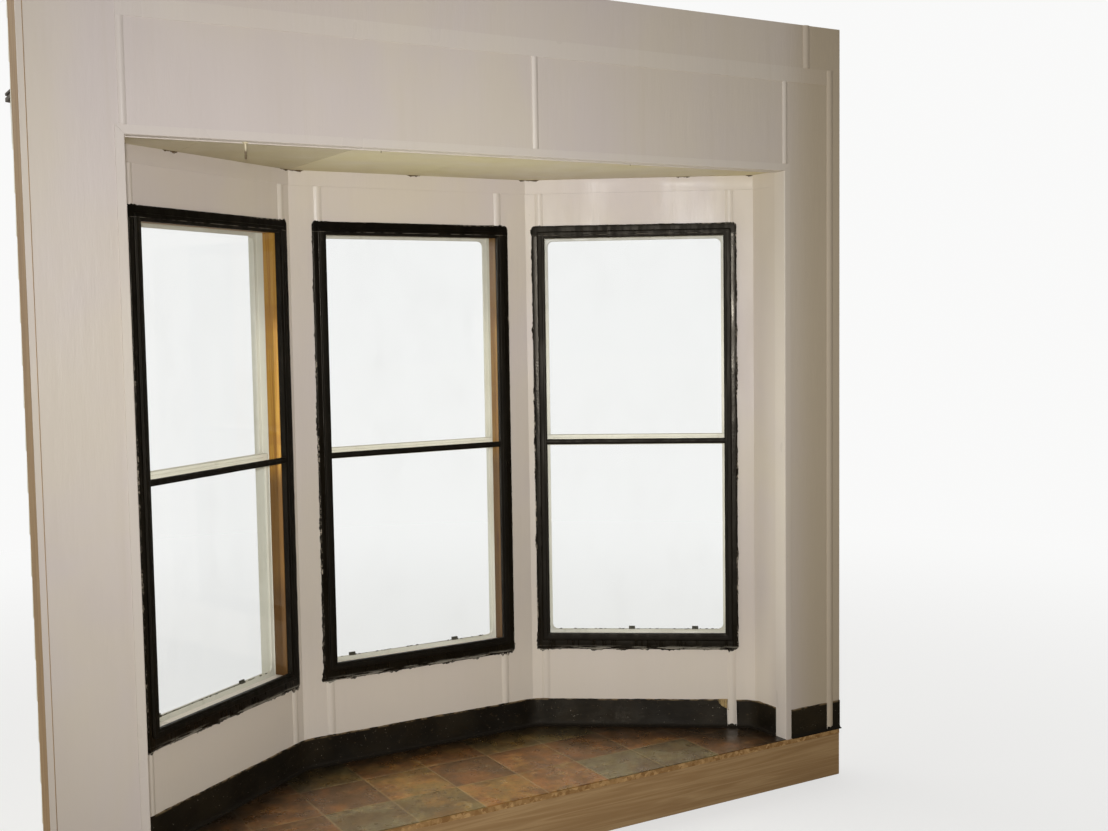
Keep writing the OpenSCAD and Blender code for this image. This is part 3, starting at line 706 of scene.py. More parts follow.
def torn_edge():
    """Dark ragged strips where its mark is 0, and old glue, tan where it is 1."""
    torn = Finish("torn_edge", roughness=0.9, specular=0.2)
    torn.base = torn.mix(torn.noise(160), "#342a1e", "#766246")
    torn.coat(torn.mix(torn.noise(120, 4), "#967846", "#c4ae80"), torn.layer("mark"))
    torn.bump(torn.noise(400), 0.0006)
    return torn.end()


TORN_EDGE = torn_edge()


def shingle_stone():
    """Mineral granules on felt, darker from tab to tab."""
    stone = Finish("shingle_stone", grain=True, roughness=0.95, specular=0.15)
    grains = stone.split(stone.cells(420)["Color"])[0]
    stone.base = stone.ramp(grains, "#5c5854", "#807a74", "#6c6864", "#968f86")
    stone.coat("#54504c", stone.layer("tone"), 0.5)
    stone.mottle("#747058", 6, 0.5, 0.75, 0.5, 4)
    stone.bump(stone.noise(520, 2), 0.0012)
    return stone.end()


SHINGLE_STONE = shingle_stone()


# Room side: black frames, glass and liners

# Spacing of points along torn strips
TORN_STEP = 0.0018


def frame_rect(face, name):
    """Outline of a black frame on its face: left, bottom, right and top."""
    (s0, _, z0), (s1, _, z1) = face.reach(name + "_inner_frame")
    return s0, z0, s1, z1


def torn_strip(shape, face, s0, s1, z, drop, reach, spread=0.0, mark=0.0):
    """A ragged strip on a face: it hangs from a height, or with drop below 0 stands on it, and
    reaches out into the room."""
    steps = max(4, round((s1 - s0) / TORN_STEP))
    loops = []
    for k in range(steps + 1):
        s = s0 + (s1 - s0) * k / steps
        fade = min(1, 6 * k / steps, 6 * (1 - k / steps))
        rag = waver(s * 70, drop * 900, z * 9) + waver(s * 330, 2, z * 9)
        low = z - drop * (0.12 + fade * max(0, 0.5 + 0.8 * rag))
        out = reach + spread * (0.5 + 0.5 * rag) * fade
        loops.append([face.at(s, n, up) for n, up in ((0.001, z), (-out, z), (-out, low), (0.001, low))])
    shape.loft(loops, marks=[mark] * len(loops))


# Section of a black frame, from where its paint runs out on the wall. Each stretch has its name, the
# widths that it is set in at the sides, head and sill, the radius of its corners, and for each of
# its points how much further in and how deep it is
FRAME_SECTION = (
    ("paint", (0, 0, 0), 0.012, ((0.0, -0.0001), (0.0006, -0.0005))),
    ("edge", (0, 0, 0), 0.0115, (
        (0.0, -0.0008), (0.0, -0.0042), (0.0014, -0.0058), (0.0024, -0.0061), (0.0062, -0.0064)
    )),
    ("flange", FLANGE, 0.0042, (
        (-0.0100, -0.0065), (-0.0062, -0.0063), (-0.0026, -0.0060), (-0.0008, -0.0061),
        (0.0, -0.0070), (0.0002, -0.0108), (0.0012, -0.0119), (0.0022, -0.0120)
    )),
    ("lip", LIP, 0.0012, (
        (-0.0022, -0.0120), (-0.0008, -0.0118), (0.0, -0.0110), (0.0, -0.0092), (0.0014, -0.0090)
    )),
    ("inner", STILE, 0.0012, ((-0.0014, -0.0090), (0.0, -0.0080), (0.0, 0.0030))),
    ("rebate", [width - REBATE for width in STILE], 0.0012, ((0.0, 0.0030), (0.0, 0.0130))),
    ("back", FLANGE, 0.0042, ((0.0, 0.0130), (0.0, 0.0))),
)
# How far black paint runs up and down over the ends of a window's two battens
PAINT_UP, PAINT_DOWN = (-0.0065, -0.0045), (0.008, 0.011)


def paint_out(point, rect, seed):
    """How far black paint runs out over the wall beyond the frame's edge at a point."""
    s0, z0, s1, z1 = rect
    corner = 1 - min(1, min(abs(point.x - s0), abs(point.x - s1)) / 0.07)
    ragged = 1.0 if point.z < z0 + 0.03 else 0.15 + 0.8 * corner if point.z > z1 - 0.03 else 0.5
    spread = waver(point.x * 21, seed, point.z * 21)
    fine = waver(point.x * 120, seed + 5, point.z * 120)
    return max(0.0003, ragged * (0.0014 + 0.0085 * spread + 0.0055 * fine))


def outwards(place, low, high, reach):
    """-1 or 1, the way out, within reach of one of two edges, and 0 between."""
    return int(place > high - reach) - int(place < low + reach)


def frame_ring(shape, rect, seed):
    """The frame's four sides, thick with uneven paint."""
    s0, z0, s1, z1 = rect
    loops, marks = [], []
    for stretch, widths, radius, places in FRAME_SECTION:
        for more, n in places:
            points = soft_loop(rect, [width + more for width in widths], n, radius)
            for point in points:
                out = Vector((outwards(point.x, s0, s1, 0.06), 0, outwards(point.z, z0, z1, 0.07)))
                along = Vector((point.x * 9, seed, point.z * 9))
                if stretch == "paint":
                    point += out * (paint_out(point, rect, seed) - more)
                elif stretch == "edge":
                    point += out * (0.0003 + 0.0007 * waver(*(along * 3)))
                if n < -0.001:
                    point.y += 0.0004 * waver(*(along * 2.5))
            loops.append(points)
            marks.append(widths[0] + more)
    shape.loft(loops, grain=2, ring=True, marks=marks)


def mid_rail(shape, rect, seed):
    """The rail between the stiles, and the tongue behind it that parts the panes."""
    s0, z0, s1, _ = rect
    rail, half, back = z0 + RAIL_UP, RAIL_H / 2, 0.003
    section = [
        (-half, back), (-half, -0.0072), (-half + 0.0018, -0.0088), (0.0, -0.0092),
        (half - 0.0018, -0.0088), (half, -0.0072), (half, back)
    ]
    steps, into = 60, 0.002
    loops = []
    for k in range(steps + 1):
        s = s0 + STILE[0] - into + (s1 - s0 - 2 * STILE[0] + 2 * into) * k / steps
        sway = 0.0005 * waver(s * 12, seed, 3)
        loops.append([(s, n, rail + z + sway) for z, n in section])
    shape.loft(loops, marks=[STILE[0]] * len(loops))
    tongue, side = half - REBATE, STILE[0] - REBATE
    shape.box((s0 + side, back, rail - tongue), (s1 - side, 0.013, rail + tongue))


def black_frame(name, face, seed):
    rect = frame_rect(face, name)
    s0, z0, s1, z1 = rect
    shape = Shape()
    frame_ring(shape, rect, seed)
    mid_rail(shape, rect, seed)
    battens = face.turned("facet_battens")
    fronts = battens[np.abs(battens[:, 1] + BATTEN_T) < 0.0004]
    for k, middle in enumerate(sorted({round(s, 4) for s in fronts[:, 0] if s0 < s < s1})):
        for z, drop in ((z1 - 0.002, PAINT_UP[k]), (z0 + 0.002, PAINT_DOWN[k])):
            torn_strip(
                shape, FLAT, middle - 0.6 * BATTEN_W, middle + 0.6 * BATTEN_W, z, drop, BATTEN_T + 0.0006
            )
    shape.build(
        name + "_black_frame", BLACK, "black_aluminium", (name + "_inner_frame",), face, smooth=50
    )


for seed, (name, face) in enumerate(WINDOWS.items()):
    black_frame(name, face, 10.0 * seed)


def liner_boards(name, face):
    liner = name + "_jamb_liner"
    (s0, n0, z0), (s1, n1, z1) = face.reach(liner)
    side, top, bottom = LINER
    boards, sill = Shape(), Shape()
    boards.box((s0, n0, z0), (s0 + side, n1, z1), grain=2)
    boards.box((s1 - side, n0, z0), (s1, n1, z1), grain=2)
    boards.box((s0 + side, n0, z1 - top), (s1 - side, n1, z1))
    boards.build(name + "_liner_boards", LINER_WOOD, "liner_wood", (liner,), face, 0.0008)
    sill.box((s0 + side, n0, z0), (s1 - side, n1, z0 + bottom))
    sill.build(name + "_liner_sill", TRIM_PAINT, "trim_paint", (liner,), face, 0.0008)


def lower_meeting(piece):
    """Lowers the meeting rails, and the edges of the panes that they hold."""
    for vertex in piece.data.vertices:
        if MEETING_LOW < vertex.co.z < MEETING_HIGH:
            vertex.co.z -= MEETING_DROP


# The panes' edges and the rails around them are all within this band
_, LOWER_PANE, UPPER_PANE, _ = sorted({round(float(z), 5) for z in node_points("outer_glass")[:, 2]})
MEETING_LOW, MEETING_HIGH = LOWER_PANE - 2 * REBATE, UPPER_PANE + 2 * REBATE
OUTER_PANES = refine("outer_glass", "outer_panes", GLASS, "window_glass", 0)
lower_meeting(OUTER_PANES)

# How far the latches and their dirt keep from the window's edges, and a skin over the metal
LATCH_IN, CRUMB_IN, SKIN = 0.06, 0.05, 0.0004
# A latch's covers: from and to as shares of its height, depths, and how much narrower each is
LATCH_COVERS = (
    (0.0, 0.52, 0.0, 0.007, 0.0), (0.45, 1.0, 0.0035, 0.007, 0.0), (0.80, 1.0, 0.0015, 0.0036, 0.002)
)
CRUMBS = 34


def crumb(shape, s0, s1, front, rail):
    """A crumb of dirt somewhere on a sash's bottom rail."""
    s = draw.uniform(s0 + CRUMB_IN, s1 - CRUMB_IN)
    size, tall = draw.uniform(0.0012, 0.0045), draw.uniform(0.0008, 0.0028)
    n = front + draw.uniform(0.001, 0.005)
    rings = ((1.0, -0.0004), (draw.uniform(0.7, 1.0), tall * 0.5), (0.4, tall))
    shape.loft([[
        (s + size * k * math.cos(a) * 1.6, n + 0.5 * size * k * math.sin(a), rail + z)
        for a in (math.tau * j / 7 for j in range(7))
    ] for k, z in rings])


def sliding_window(name, face):
    """The outer window, its latches worn low, with dark covers over them and dirt along the rail."""
    points = face.turned(name + "_outer_window")
    s0, rail, s1 = points[:, 0].min(), points[:, 2].min() + SASH_RAIL, points[:, 0].max()

    def on_latch(s, z):
        """Whether a point is on a latch, above its foot."""
        return (s > s0 + LATCH_IN) & (s < s1 - LATCH_IN) & (z > rail + 0.004) & (z < rail + LATCH_H + 0.001)

    found = points[on_latch(points[:, 0], points[:, 2])]
    front = found[:, 1].min()
    window = refine(
        name + "_outer_window", name + "_sliding_window", WHITE_METAL, "white_aluminium", 0.0008
    )
    for vertex in window.data.vertices:
        if on_latch((vertex.co - face.start).dot(face.along), vertex.co.z):
            vertex.co.z = rail + (vertex.co.z - rail) * LATCH_SHOWN / LATCH_H
    lower_meeting(window)
    edges = sorted({round(s, 4) for s in found[:, 0]})
    latches, pull = Shape(), Shape()
    for left, right in zip(edges[::2], edges[1::2]):
        for low, high, out, back, by in LATCH_COVERS:
            latches.box(
                (left - SKIN + by, front + out - SKIN, rail + low * LATCH_SHOWN - SKIN),
                (right + SKIN - by, front + back + SKIN, rail + high * LATCH_SHOWN + SKIN)
            )
    for _ in range(CRUMBS):
        crumb(latches, s0, s1, front, rail)
    latches.build(name + "_sash_latches", LATCH_METAL, "black_aluminium", (), face, 0.0006)
    top = UPPER_PANE - MEETING_DROP - PULL_DOWN
    pull.box((s0 + PULL_IN, front - PULL_T, top - PULL_H), (s1 - PULL_IN, front + SKIN, top))
    pull.build(name + "_sash_pull", WHITE_METAL, "white_aluminium", (), face, 0.0008)


for name, face in WINDOWS.items():
    liner_boards(name, face)
    sliding_window(name, face)


# Room side: baseboard

# Spacing of points along its bends and straights
BEND_STEP, RUN_STEP = 0.006, 0.012


def rounded_path(corners, radii):
    """Points along a line in plan whose corners are bent."""
    path = [corners[0]]
    for before, corner, after, radius in zip(corners, corners[1:], corners[2:], radii):
        into, out = (corner - before).normalized(), (after - corner).normalized()
        turn = math.acos(max(-1, min(1, into.dot(out))))
        start = corner - into * (radius * math.tan(turn / 2))
        centre = start + Vector((into.y, -into.x, 0)) * radius
        steps = max(3, round(turn * radius / BEND_STEP))
        for k in range(steps + 1):
            path.append(centre + Matrix.Rotation(-turn * k / steps, 3, "Z") @ (start - centre))
    path.append(corners[-1])
    dense = []
    for here, there in zip(path, path[1:]):
        count = max(1, round((there - here).length / RUN_STEP))
        dense += [here.lerp(there, k / count) for k in range(count)]
    return dense + [path[-1]]


def cove_section(top, lean):
    """The baseboard across: a flat back, a worn top edge and a cove that runs out to a thin toe."""
    r = TOE_W - BASE_T
    cove = [(TOE_W - r * math.sin(a), TOE_T + r - r * math.cos(a)) for a in (
        math.radians(15 * k) for k in reversed(range(7))
    )]
    face = [(BASE_T + lean * k / 4, top - 0.0012 - (top - TOE_W) * (1 - k / 4)) for k in (4, 3, 2, 1)]
    back = [(0, top * k / 4) for k in range(5)]
    return back + [(BASE_T * 0.45 + lean, top)] + face + cove + [(TOE_W, 0)]


def cove_run(shape, corners, radii=(), torn=(0, 0)):
    """One length of baseboard. torn is how far each of its ends is cut back at half its height."""
    path = rounded_path(corners, radii)
    last = len(path) - 1
    loops = []
    for k, point in enumerate(path):
        ahead = (path[min(k + 1, last)] - path[max(k - 1, 0)]).normalized()
        room = Vector((ahead.y, -ahead.x, 0))
        wave = waver(*(point * 7)) * 0.0014 + waver(*(point * 45)) * 0.0014
        lean = max(0, waver(*(point * 4 + Vector((5, 5, 5))))) * 0.0008
        cut = torn[0] if k == 0 else -torn[1] if k == last else 0
        loops.append([
            point + room * out + ahead * cut * math.sin(math.pi * min(1, z / BASE_H))
            + Vector((0, 0, FLOOR_Z + z)) for out, z in cove_section(BASE_H - 0.0018 + wave, lean)
        ])
    shape.loft(loops)


def toe_plug(shape, face, s):
    """Black mastic that closes the toe in front of a batten's foot."""
    loops = []
    for k in range(9):
        at = s + SLOT_HALF * (k / 4 - 1)
        top = 0.012 + 0.005 * waver(at * 110, 3, 7)
        loops.append([face.at(at, -out, FLOOR_Z + z) for out, z in (
            (BATTEN_T, 0), (BATTEN_T, top), (BATTEN_T + 0.0010, top - 0.0010), (BATTEN_T + 0.0022, 0.0045),
            (TOE_W, TOE_T), (TOE_W, 0)
        )])
    shape.loft(loops)


baseboard = Shape()
slot_s = frame_rect(RIGHT, "right")[2] - RIGHT_BATTEN_IN
cove_run(baseboard, [
    LEFT_RETURN.at(MOULD_BACK, 0, 0), LEFT.start, MIDDLE.start, RIGHT.start,
    RIGHT.at(slot_s - SLOT_HALF, 0, 0)
], [BEND_JAMB, BEND_CORNER, BEND_CORNER], (0, 0.004))
cove_run(baseboard, [
    RIGHT.at(slot_s + SLOT_HALF, 0, 0), RIGHT_RETURN.start,
    RIGHT_RETURN.at(RIGHT_RETURN.length - MOULD_BACK, 0, 0)
], [BEND_JAMB], (0.008, 0))
toe_plug(baseboard, RIGHT, slot_s)
wing_slot = WING_X + HALF_W + WING_BATTEN
toe_plug(baseboard, WALL, wing_slot)
for start, end in (
    (0, WING_X - HALF_W - MOULD_FACE),
    (WING_X + HALF_W + MOULD_FACE, wing_slot - SLOT_HALF),
    (wing_slot + SLOT_HALF, 2 * WING_X),
):
    cove_run(baseboard, [WALL.at(start, 0, 0), WALL.at(end, 0, 0)])
baseboard.build("cove_base", COVE_VINYL, "baseboard_vinyl", ("baseboard",), smooth=40)

for node, name, finish, slot, bevel in (
    ("corner_moulding", "corner_trim", TRIM_PAINT, "trim_paint", 0.0006),
    ("facet_battens", "bay_battens", TRIM_PAINT, "trim_paint", 0.0022),
    ("wall_battens", "face_battens", TRIM_PAINT, "trim_paint", 0.0022),
    ("cornice", "cornice_strip", WALL_PAINT, "trim_paint", 0.0006),
    ("ceiling_panel", "ceiling_planks", CEILING_PAINT, "ceiling_paint", 0.0010),
):
    refine(node, name, finish, slot, bevel)


# Room side: hooks under the head of the opening, torn edges and old glue

# Each hook's x and y, the lengths of its shank and bend, and its radius
HOOKS = (
    (-0.713, -0.3724, 0.034, 0.0105, 0.0028), (-0.343, -0.3654, 0.007, 0.0032, 0.0009),
    (0.453, -0.3634, 0.006, 0.0012, 0.0008)
)
# The way that the hooks open, and the radii and heights of a hook's collar, as shares of its radius
HOOK_OUT, HOOK_FLAT = Vector((-0.309, -0.951, 0)), Vector((0.951, -0.309, 0))
COLLAR = ((1.0, 0.7), (3.4, 0.15), (3.2, -1.0), (1.4, -2.9))
# Where dark ragged strips hang along the top of the facets
SOFFIT_DARK_STRIPS = (
    (LEFT, 0.195, 0.254), (LEFT, 0.705, 0.746), (MIDDLE, 0.0, 0.050), (MIDDLE, 0.386, 0.434),
    (MIDDLE, 0.790, 0.812), (RIGHT, 0.0, 0.050), (RIGHT, 0.497, 0.543), (RIGHT, 0.722, 0.746)
)


def wire(shape, points, radii, marks):
    """A round wire through points that lie in the plane of the hooks."""
    loops = []
    for k, (point, radius) in enumerate(zip(points, radii)):
        ahead = (points[min(k + 1, len(points) - 1)] - points[max(k - 1, 0)]).normalized()
        side = ahead.cross(HOOK_FLAT)
        loops.append([
            point + (side * math.cos(a) + HOOK_FLAT * math.sin(a)) * radius
            for a in (math.tau * j / 12 for j in range(12))
        ])
    shape.loft(loops, marks=marks)


def soffit_hook(shape, x, y, shank, bend, radius):
    """A hook screwed into the soffit: a collar, a shank and a bend that opens to the room."""
    top = Vector((x, y, SOFFIT_Z))
    collar = [top + Vector((0, 0, z * radius)) for _, z in COLLAR]
    wire(shape, collar, [radius * size for size, _ in COLLAR], [0.0] * len(COLLAR))
    line = [top + Vector((0, 0, -shank * k / 6)) for k in range(7)]
    centre = line[-1] + HOOK_OUT * bend
    line += [centre + (Vector((0, 0, -math.sin(a))) - HOOK_OUT * math.cos(a)) * bend for a in (
        math.radians(15 * k) for k in range(1, 15)
    )]
    along = [k / len(line) for k in range(len(line))]
    sizes = [radius * (1 - 0.35 * part) * (1.25 if k % 2 else 0.9) for k, part in enumerate(along)]
    wire(shape, line, sizes, along)


hooks, torn = Shape(), Shape()
for hook in HOOKS:
    soffit_hook(hooks, *hook)
hooks.build("soffit_hooks", HOOK_METAL, "trim_paint", smooth=60)
for face, s0, s1 in SOFFIT_DARK_STRIPS:
    torn_strip(torn, face, s0, s1, SOFFIT_Z, 0.0048, 0.0018, 0.0036)
# Glue where the baseboard's end by the batten is torn
slot_left = slot_s - SLOT_HALF
for k in range(9):
    torn_strip(
        torn, RIGHT, slot_left - 0.034 + 0.0006 * k * k, slot_left,
        FLOOR_Z + BASE_H - 0.0005 - 0.0042 * k, 0.0058, BASE_T + 0.0010, 0.0003, 1.0
    )
torn.build("torn_edges", TORN_EDGE, "trim_paint")


# Outside: lap siding

def lap_siding(face, s0, s1, top, holes, shape):
    """Courses of lap siding between two places on a face, round holes in its plane."""
    for k in range(math.ceil((top - SIDING_LOW) / LAP_H)):
        low = SIDING_LOW + k * LAP_H
        for start, end, thin, thick in (
            (0.0, LAP_EDGE, LAP_LIP - LAP_EDGE, LAP_LIP), (LAP_EDGE, LAP_H, LAP_LIP, LAP_TAIL)
        ):
            z0, z1 = low + start, min(low + end, top)
            if z1 <= z0:
                continue
            pieces = [[face.at(s, CORE_N, z) for s, z in rectangle(s0, z0, s1, z1)]]
            for hole in holes:
                pieces = [part for piece in pieces for part in cut_away(piece, hole)]
            for piece in (p for p in pieces if area(p) > 1e-5):
                shape.loft([piece, [p + face.out * (
                    thin + (thick - thin) * (p.z - low - start) / (end - start)
                ) for p in piece]])


def rectangle_hole(face, s0, s1, z0, z1):
    """Limits of a rectangle in a face's plane."""
    along, up = face.along, Vector((0, 0, 1))
    base = face.start.dot(along)
    return [(along, base + s1), (-along, -base - s0), (up, z1), (-up, -z0)]


def casing_hole(face):
    """The hole for a facet's window, round its casings."""
    points = face.turned("window_casings")
    s, n, _ = points.T
    near = points[(n > CORE_N - 0.001) & (n < CORE_N + 0.03) & (s > 0) & (s < face.length)]
    (s0, _, z0), (s1, _, z1) = near.min(0), near.max(0)
    return rectangle_hole(face, s0, s1, z0, z1)


# Half the angle at each corner of the plan
HALF_BENDS = [math.acos(max(-1, min(1, a.along.dot(b.along)))) / 2 for a, b in zip(ROUND, ROUND[1:])]
# How far short of each corner the siding stops, at the returns' ends and at the corner posts
stops = [SKIN_N] + [POST_LEG - CORE_N * math.tan(half) for half in HALF_BENDS] + [SKIN_N]
bay_siding, wall_siding = Shape(), Shape()
for face, start, end in zip(ROUND, stops, stops[1:]):
    holes = [casing_hole(face)] if face in WINDOWS.values() else []
    lap_siding(face, start, face.length - end, PLATE_Z, holes, bay_siding)
bay_siding.build("bay_lap_siding", CREAM_SIDING, "siding_vinyl", ("bay_siding",), smooth=20)

side_hole = rectangle_hole(WALL, WING_X - HALF_W - CORE_N, WING_X + HALF_W + CORE_N, 0, PLATE_Z)
roof_hole = [
    (face.out * SLOPE + Vector((0, 0, 1)), ROOF_Z + ROOF_T + SLOPE * (EAVE_N + face.offset))
    for face in ROUND
] + [
    (Vector((0, 0, -1)), -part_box("fascia")[0].z), (Vector((1, 0, 0)), HALF_W + DRIP_N),
    (Vector((-1, 0, 0)), HALF_W + DRIP_N)
]
lap_siding(WALL, 0, 2 * WING_X, WALL_TOP, [side_hole, roof_hole], wall_siding)
wall_siding.build("wall_lap_siding", CREAM_SIDING, "siding_vinyl", ("wall_siding",), smooth=20)


# Outside: roof

def slope_limits(face, off_wall=0.0):
    """Limits in plan of the area that a face's roof plane covers."""
    return [(Vector((0, -1, 0)), -(WALL_Y + CORE_N + off_wall))] + [
        ((other.out - face.out) * SLOPE, SLOPE * (other.offset - face.offset))
        for other in ROUND if other is not face
    ]


def on_slope(face, outline, lifts):
    """An outline in plan set on the roof plane, with a lift for each of its points."""
    return [Vector((
        p.x, p.y, ROOF_Z + lift + SLOPE * (EAVE_N - (p - face.start).dot(face.out))
    )) for p, lift in zip(outline, lifts)]


def lay_tab(shape, face, outline, limits, up, low, high, thickness):
    """One tab on a roof plane, trimmed in plan. It lies high over the felt at its foot, where up is
    0, and low at its head, where up is 1."""
    outline = clip_all(outline, limits + [(face.out, face.offset + DRIP_N)])
    if outline and area(outline) >= 1e-4:
        lifts = [FELT_T + low + (high - low) * (1 - up(p)) for p in outline]
        shape.loft([on_slope(face, outline, [lift + skin for lift in lifts]) for skin in (0, thickness)])


shingles = Shape()
rows = math.ceil((BACK_Y - WALL_Y + DRIP_N - CORE_N) / math.cos(PITCH) / SHINGLE_H)
for face in ROUND:
    limits = slope_limits(face)
    felt = clip_all(face.plan(rectangle(-BEYOND, DRIP_N, 2 * BEYOND, -BEYOND)), limits)
    shingles.loft([on_slope(face, felt, [lift] * len(felt)) for lift in (0.0005, FELT_T)])
    for row in range(rows):
        foot = DRIP_N - row * SHINGLE_H * math.cos(PITCH)
        head = foot - (SHINGLE_H + SHINGLE_LAP) * math.cos(PITCH)
        shift = (row % 2) * SHINGLE_W / 2 + draw.uniform(-0.02, 0.02)
        for k in TABS:
            s0, rag = k * SHINGLE_W + shift, draw.uniform(-0.002, 0.002)
            tab = face.plan(rectangle(s0, foot + rag, s0 + SHINGLE_W - SHINGLE_GAP, head))
            lay_tab(
                shingles, face, tab, limits,
                lambda p: (foot - (p - face.start).dot(face.out)) / (foot - head), *TAB_LIFT, SHINGLE_T
            )
# Caps over the hips
for before, after, half in zip(ROUND, ROUND[1:], HALF_BENDS):
    out = (before.out + after.out).normalized()
    eave = after.start + out * (DRIP_N / math.cos(half))
    side = Vector((-out.y, out.x, 0))
    for k in range(CAPS):
        start, end = k * SHINGLE_H, (k + 1) * SHINGLE_H + CAP_LAP
        foot, head = eave - out * start, eave - out * end
        for face, width in ((before, CAP_W), (after, -CAP_W)):
            lay_tab(
                shingles, face, [foot, foot + side * width, head + side * width, head],
                slope_limits(face, 0.004),
                lambda p: ((eave - p).dot(out) - start) / (end - start), *CAP_LIFT, CAP_T
            )
shingles.build("roof_shingles", SHINGLE_STONE, "roof_shingle", ("roof_covering",), smooth=20)

for node, name, finish, slot, bevel in (
    ("corner_posts", "corner_boards", OUTSIDE_WHITE, "outside_trim", 0.0015),
    ("window_casings", "casing_boards", OUTSIDE_WHITE, "outside_trim", 0.0015),
    ("fascia", "fascia_boards", OUTSIDE_WHITE, "outside_trim", 0.0015),
    ("eave_board", "eave_soffit", OUTSIDE_WHITE, "outside_trim", 0.0008),
    ("roof_flashing", "flashing_sheet", ZINC, "flashing_metal", 0.0003),
):
    refine(node, name, finish, slot, bevel)


# Framing at the cut ends, under the floor and over the opening

def wall_frame(name, node, x0, x1, z0, beam=0.0):
    """Studs between plates, with sheathing outdoors, and a beam over an opening."""
    y0, y1 = WALL_Y + PANEL_T, WALL_Y + CORE_N
    inner = y1 - SHEATHING
    wood = Shape()
    wood.box((x0, y0, WALL_TOP - STUD_T), (x1, inner, WALL_TOP))
    wood.box((x0, y0, z0), (x1, inner, z0 + STUD_T))
    if beam:
        middle = (y0 + inner) / 2
        wood.box((x0, y0, z0 + STUD_T), (x1, middle - 0.0005, z0 + beam))
        wood.box((x0, middle + 0.0005, z0 + STUD_T), (x1, inner, z0 + beam))
    count = max(1, round((x1 - x0 - STUD_T) / STUD_STEP))
    for k in range(count + 1):
        x = x0 + (x1 - x0 - STUD_T) * k / count
        wood.box((x, y0, z0 + (beam or STUD_T)), (x + STUD_T, inner, WALL_TOP - STUD_T), grain=2)
    wood.box((x0, inner, z0), (x1, y1, WALL_TOP), grain=2)
    wood.build(name, PINE, "framing_timber", (node,), None, 0.0012)


core_in = HALF_W + PANEL_T
wall_frame("left_wing_studs", "left_wing", -WING_X, -core_in, DECK_Z)
wall_frame("right_wing_studs", "right_wing", core_in, WING_X, DECK_Z)
wall_frame("header_framing", "header", -core_in, core_in, PLATE_Z, HEADER_H)


def inset(outline, by):
    """An outline in plan with every side moved in."""
    moved = []
    for before, here, after in zip(outline[-1:] + outline, outline, outline[1:] + outline[:1]):
        first, second = (here - before).normalized(), (after - here).normalized()
        left_first, left_second = Vector((-first.y, first.x)), Vector((-second.y, second.x))
        moved.append(here + (left_first + left_second) * by / (1 + left_first.dot(left_second)))
    return moved


def floor_frame():
    """Rim boards round the platform, with joists between them."""
    low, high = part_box("floor_platform")
    core, side = WALL_Y + CORE_N, HALF_W + CORE_N
    corners = [(
        after.start + (before.out + after.out) * CORE_N / (1 + before.out.dot(after.out))
    ).xy for before, after in zip(ROUND, ROUND[1:])]
    bay = [Vector((-side, core))] + corners + [Vector((side, core))]
    outline = [Vector((-WING_X, WALL_Y)), Vector((WING_X, WALL_Y)), Vector((WING_X, core))] + bay[::-1] + [
        Vector((-WING_X, core))
    ]
    inside = inset(outline, STUD_T)
    wood = Shape()
    for k, (start, end) in enumerate(zip(outline, outline[1:] + outline[:1])):
        lengthways = 0 if abs((end - start).normalized().x) > 0.5 else 1
        wood.prism([start, end, inside[(k + 1) % len(inside)], inside[k]], low.z, high.z, lengthways)
    limits = []
    for a, b in zip(bay, bay[1:]):
        run = (b - a).normalized()
        out = Vector((-run.y, run.x, 0))
        limits.append((out, out.dot(a.to_3d()) - STUD_T))
    count = round(2 * HALF_W / STUD_STEP)
    for k in range(1, count):
        x = -HALF_W + 2 * HALF_W * k / count
        joist = rectangle(x - STUD_T / 2, WALL_Y + STUD_T, x + STUD_T / 2, BEYOND)
        wood.prism(clip_all([Vector((*corner, 0)) for corner in joist], limits), low.z, high.z, 1)
    wood.build("floor_joists", PINE, "framing_timber", ("floor_platform",), None, 0.0015)


floor_frame()


# Finishes of the CAD nodes that show as they are

KEPT = {
    WALL_PAINT: ("wall_panel", "bay_panels"),
    SLATE: ("floor_covering",),
    FLOOR_BOARD: ("floor_deck",),
    GLASS: ("inner_glass",),
    PINE_Z: ("left_jamb_post", "right_jamb_post", "left_mullion", "right_mullion"),
    PINE_X: (
        "left_apron", "centre_apron", "right_apron", "left_head", "centre_head", "right_head",
        "roof_frame"
    ),
}
for finish, nodes in KEPT.items():
    for node in nodes:
        materials = frame["nodes"][node].data.materials
        materials.clear()
        materials.append(finish)


# Floor, light and camera

BACKDROP = (0.95, 0.95, 0.945, 1)
ROOM_LIGHT, DAYLIGHT = (0.100, 0.088, 0.074, 1), (0.85, 0.84, 0.80, 1)
# The studio floor as the camera sees it, and as it lights the room's side and outdoors
FLOOR_SEEN, ROOM_FLOOR, YARD = (0.86, 0.86, 0.855, 1), (0.34, 0.28, 0.19, 1), (0.74, 0.73, 0.70, 1)
FLOOR_REACH, FLOOR_FADE = 40, 6.0
KEY_AT, KEY_AIM, KEY_SIZE, KEY_POWER = (-1.80, -3.62, 1.66), (0.20, -0.3, 1.45), 0.16, 32.8
SUN_AT, SUN_AIM, SUN_SPREAD, SUN_POWER = (-2.6, 4.2, 2.8), (0, 0, 1), math.radians(50), 0.75
# Daylight from between each window's panes into the room, and from there outwards
SKY_IN, SKY_OUT, SKY_TINT = (5.0, 3.8, 3.2), 1.2, (1.0, 0.985, 0.89)


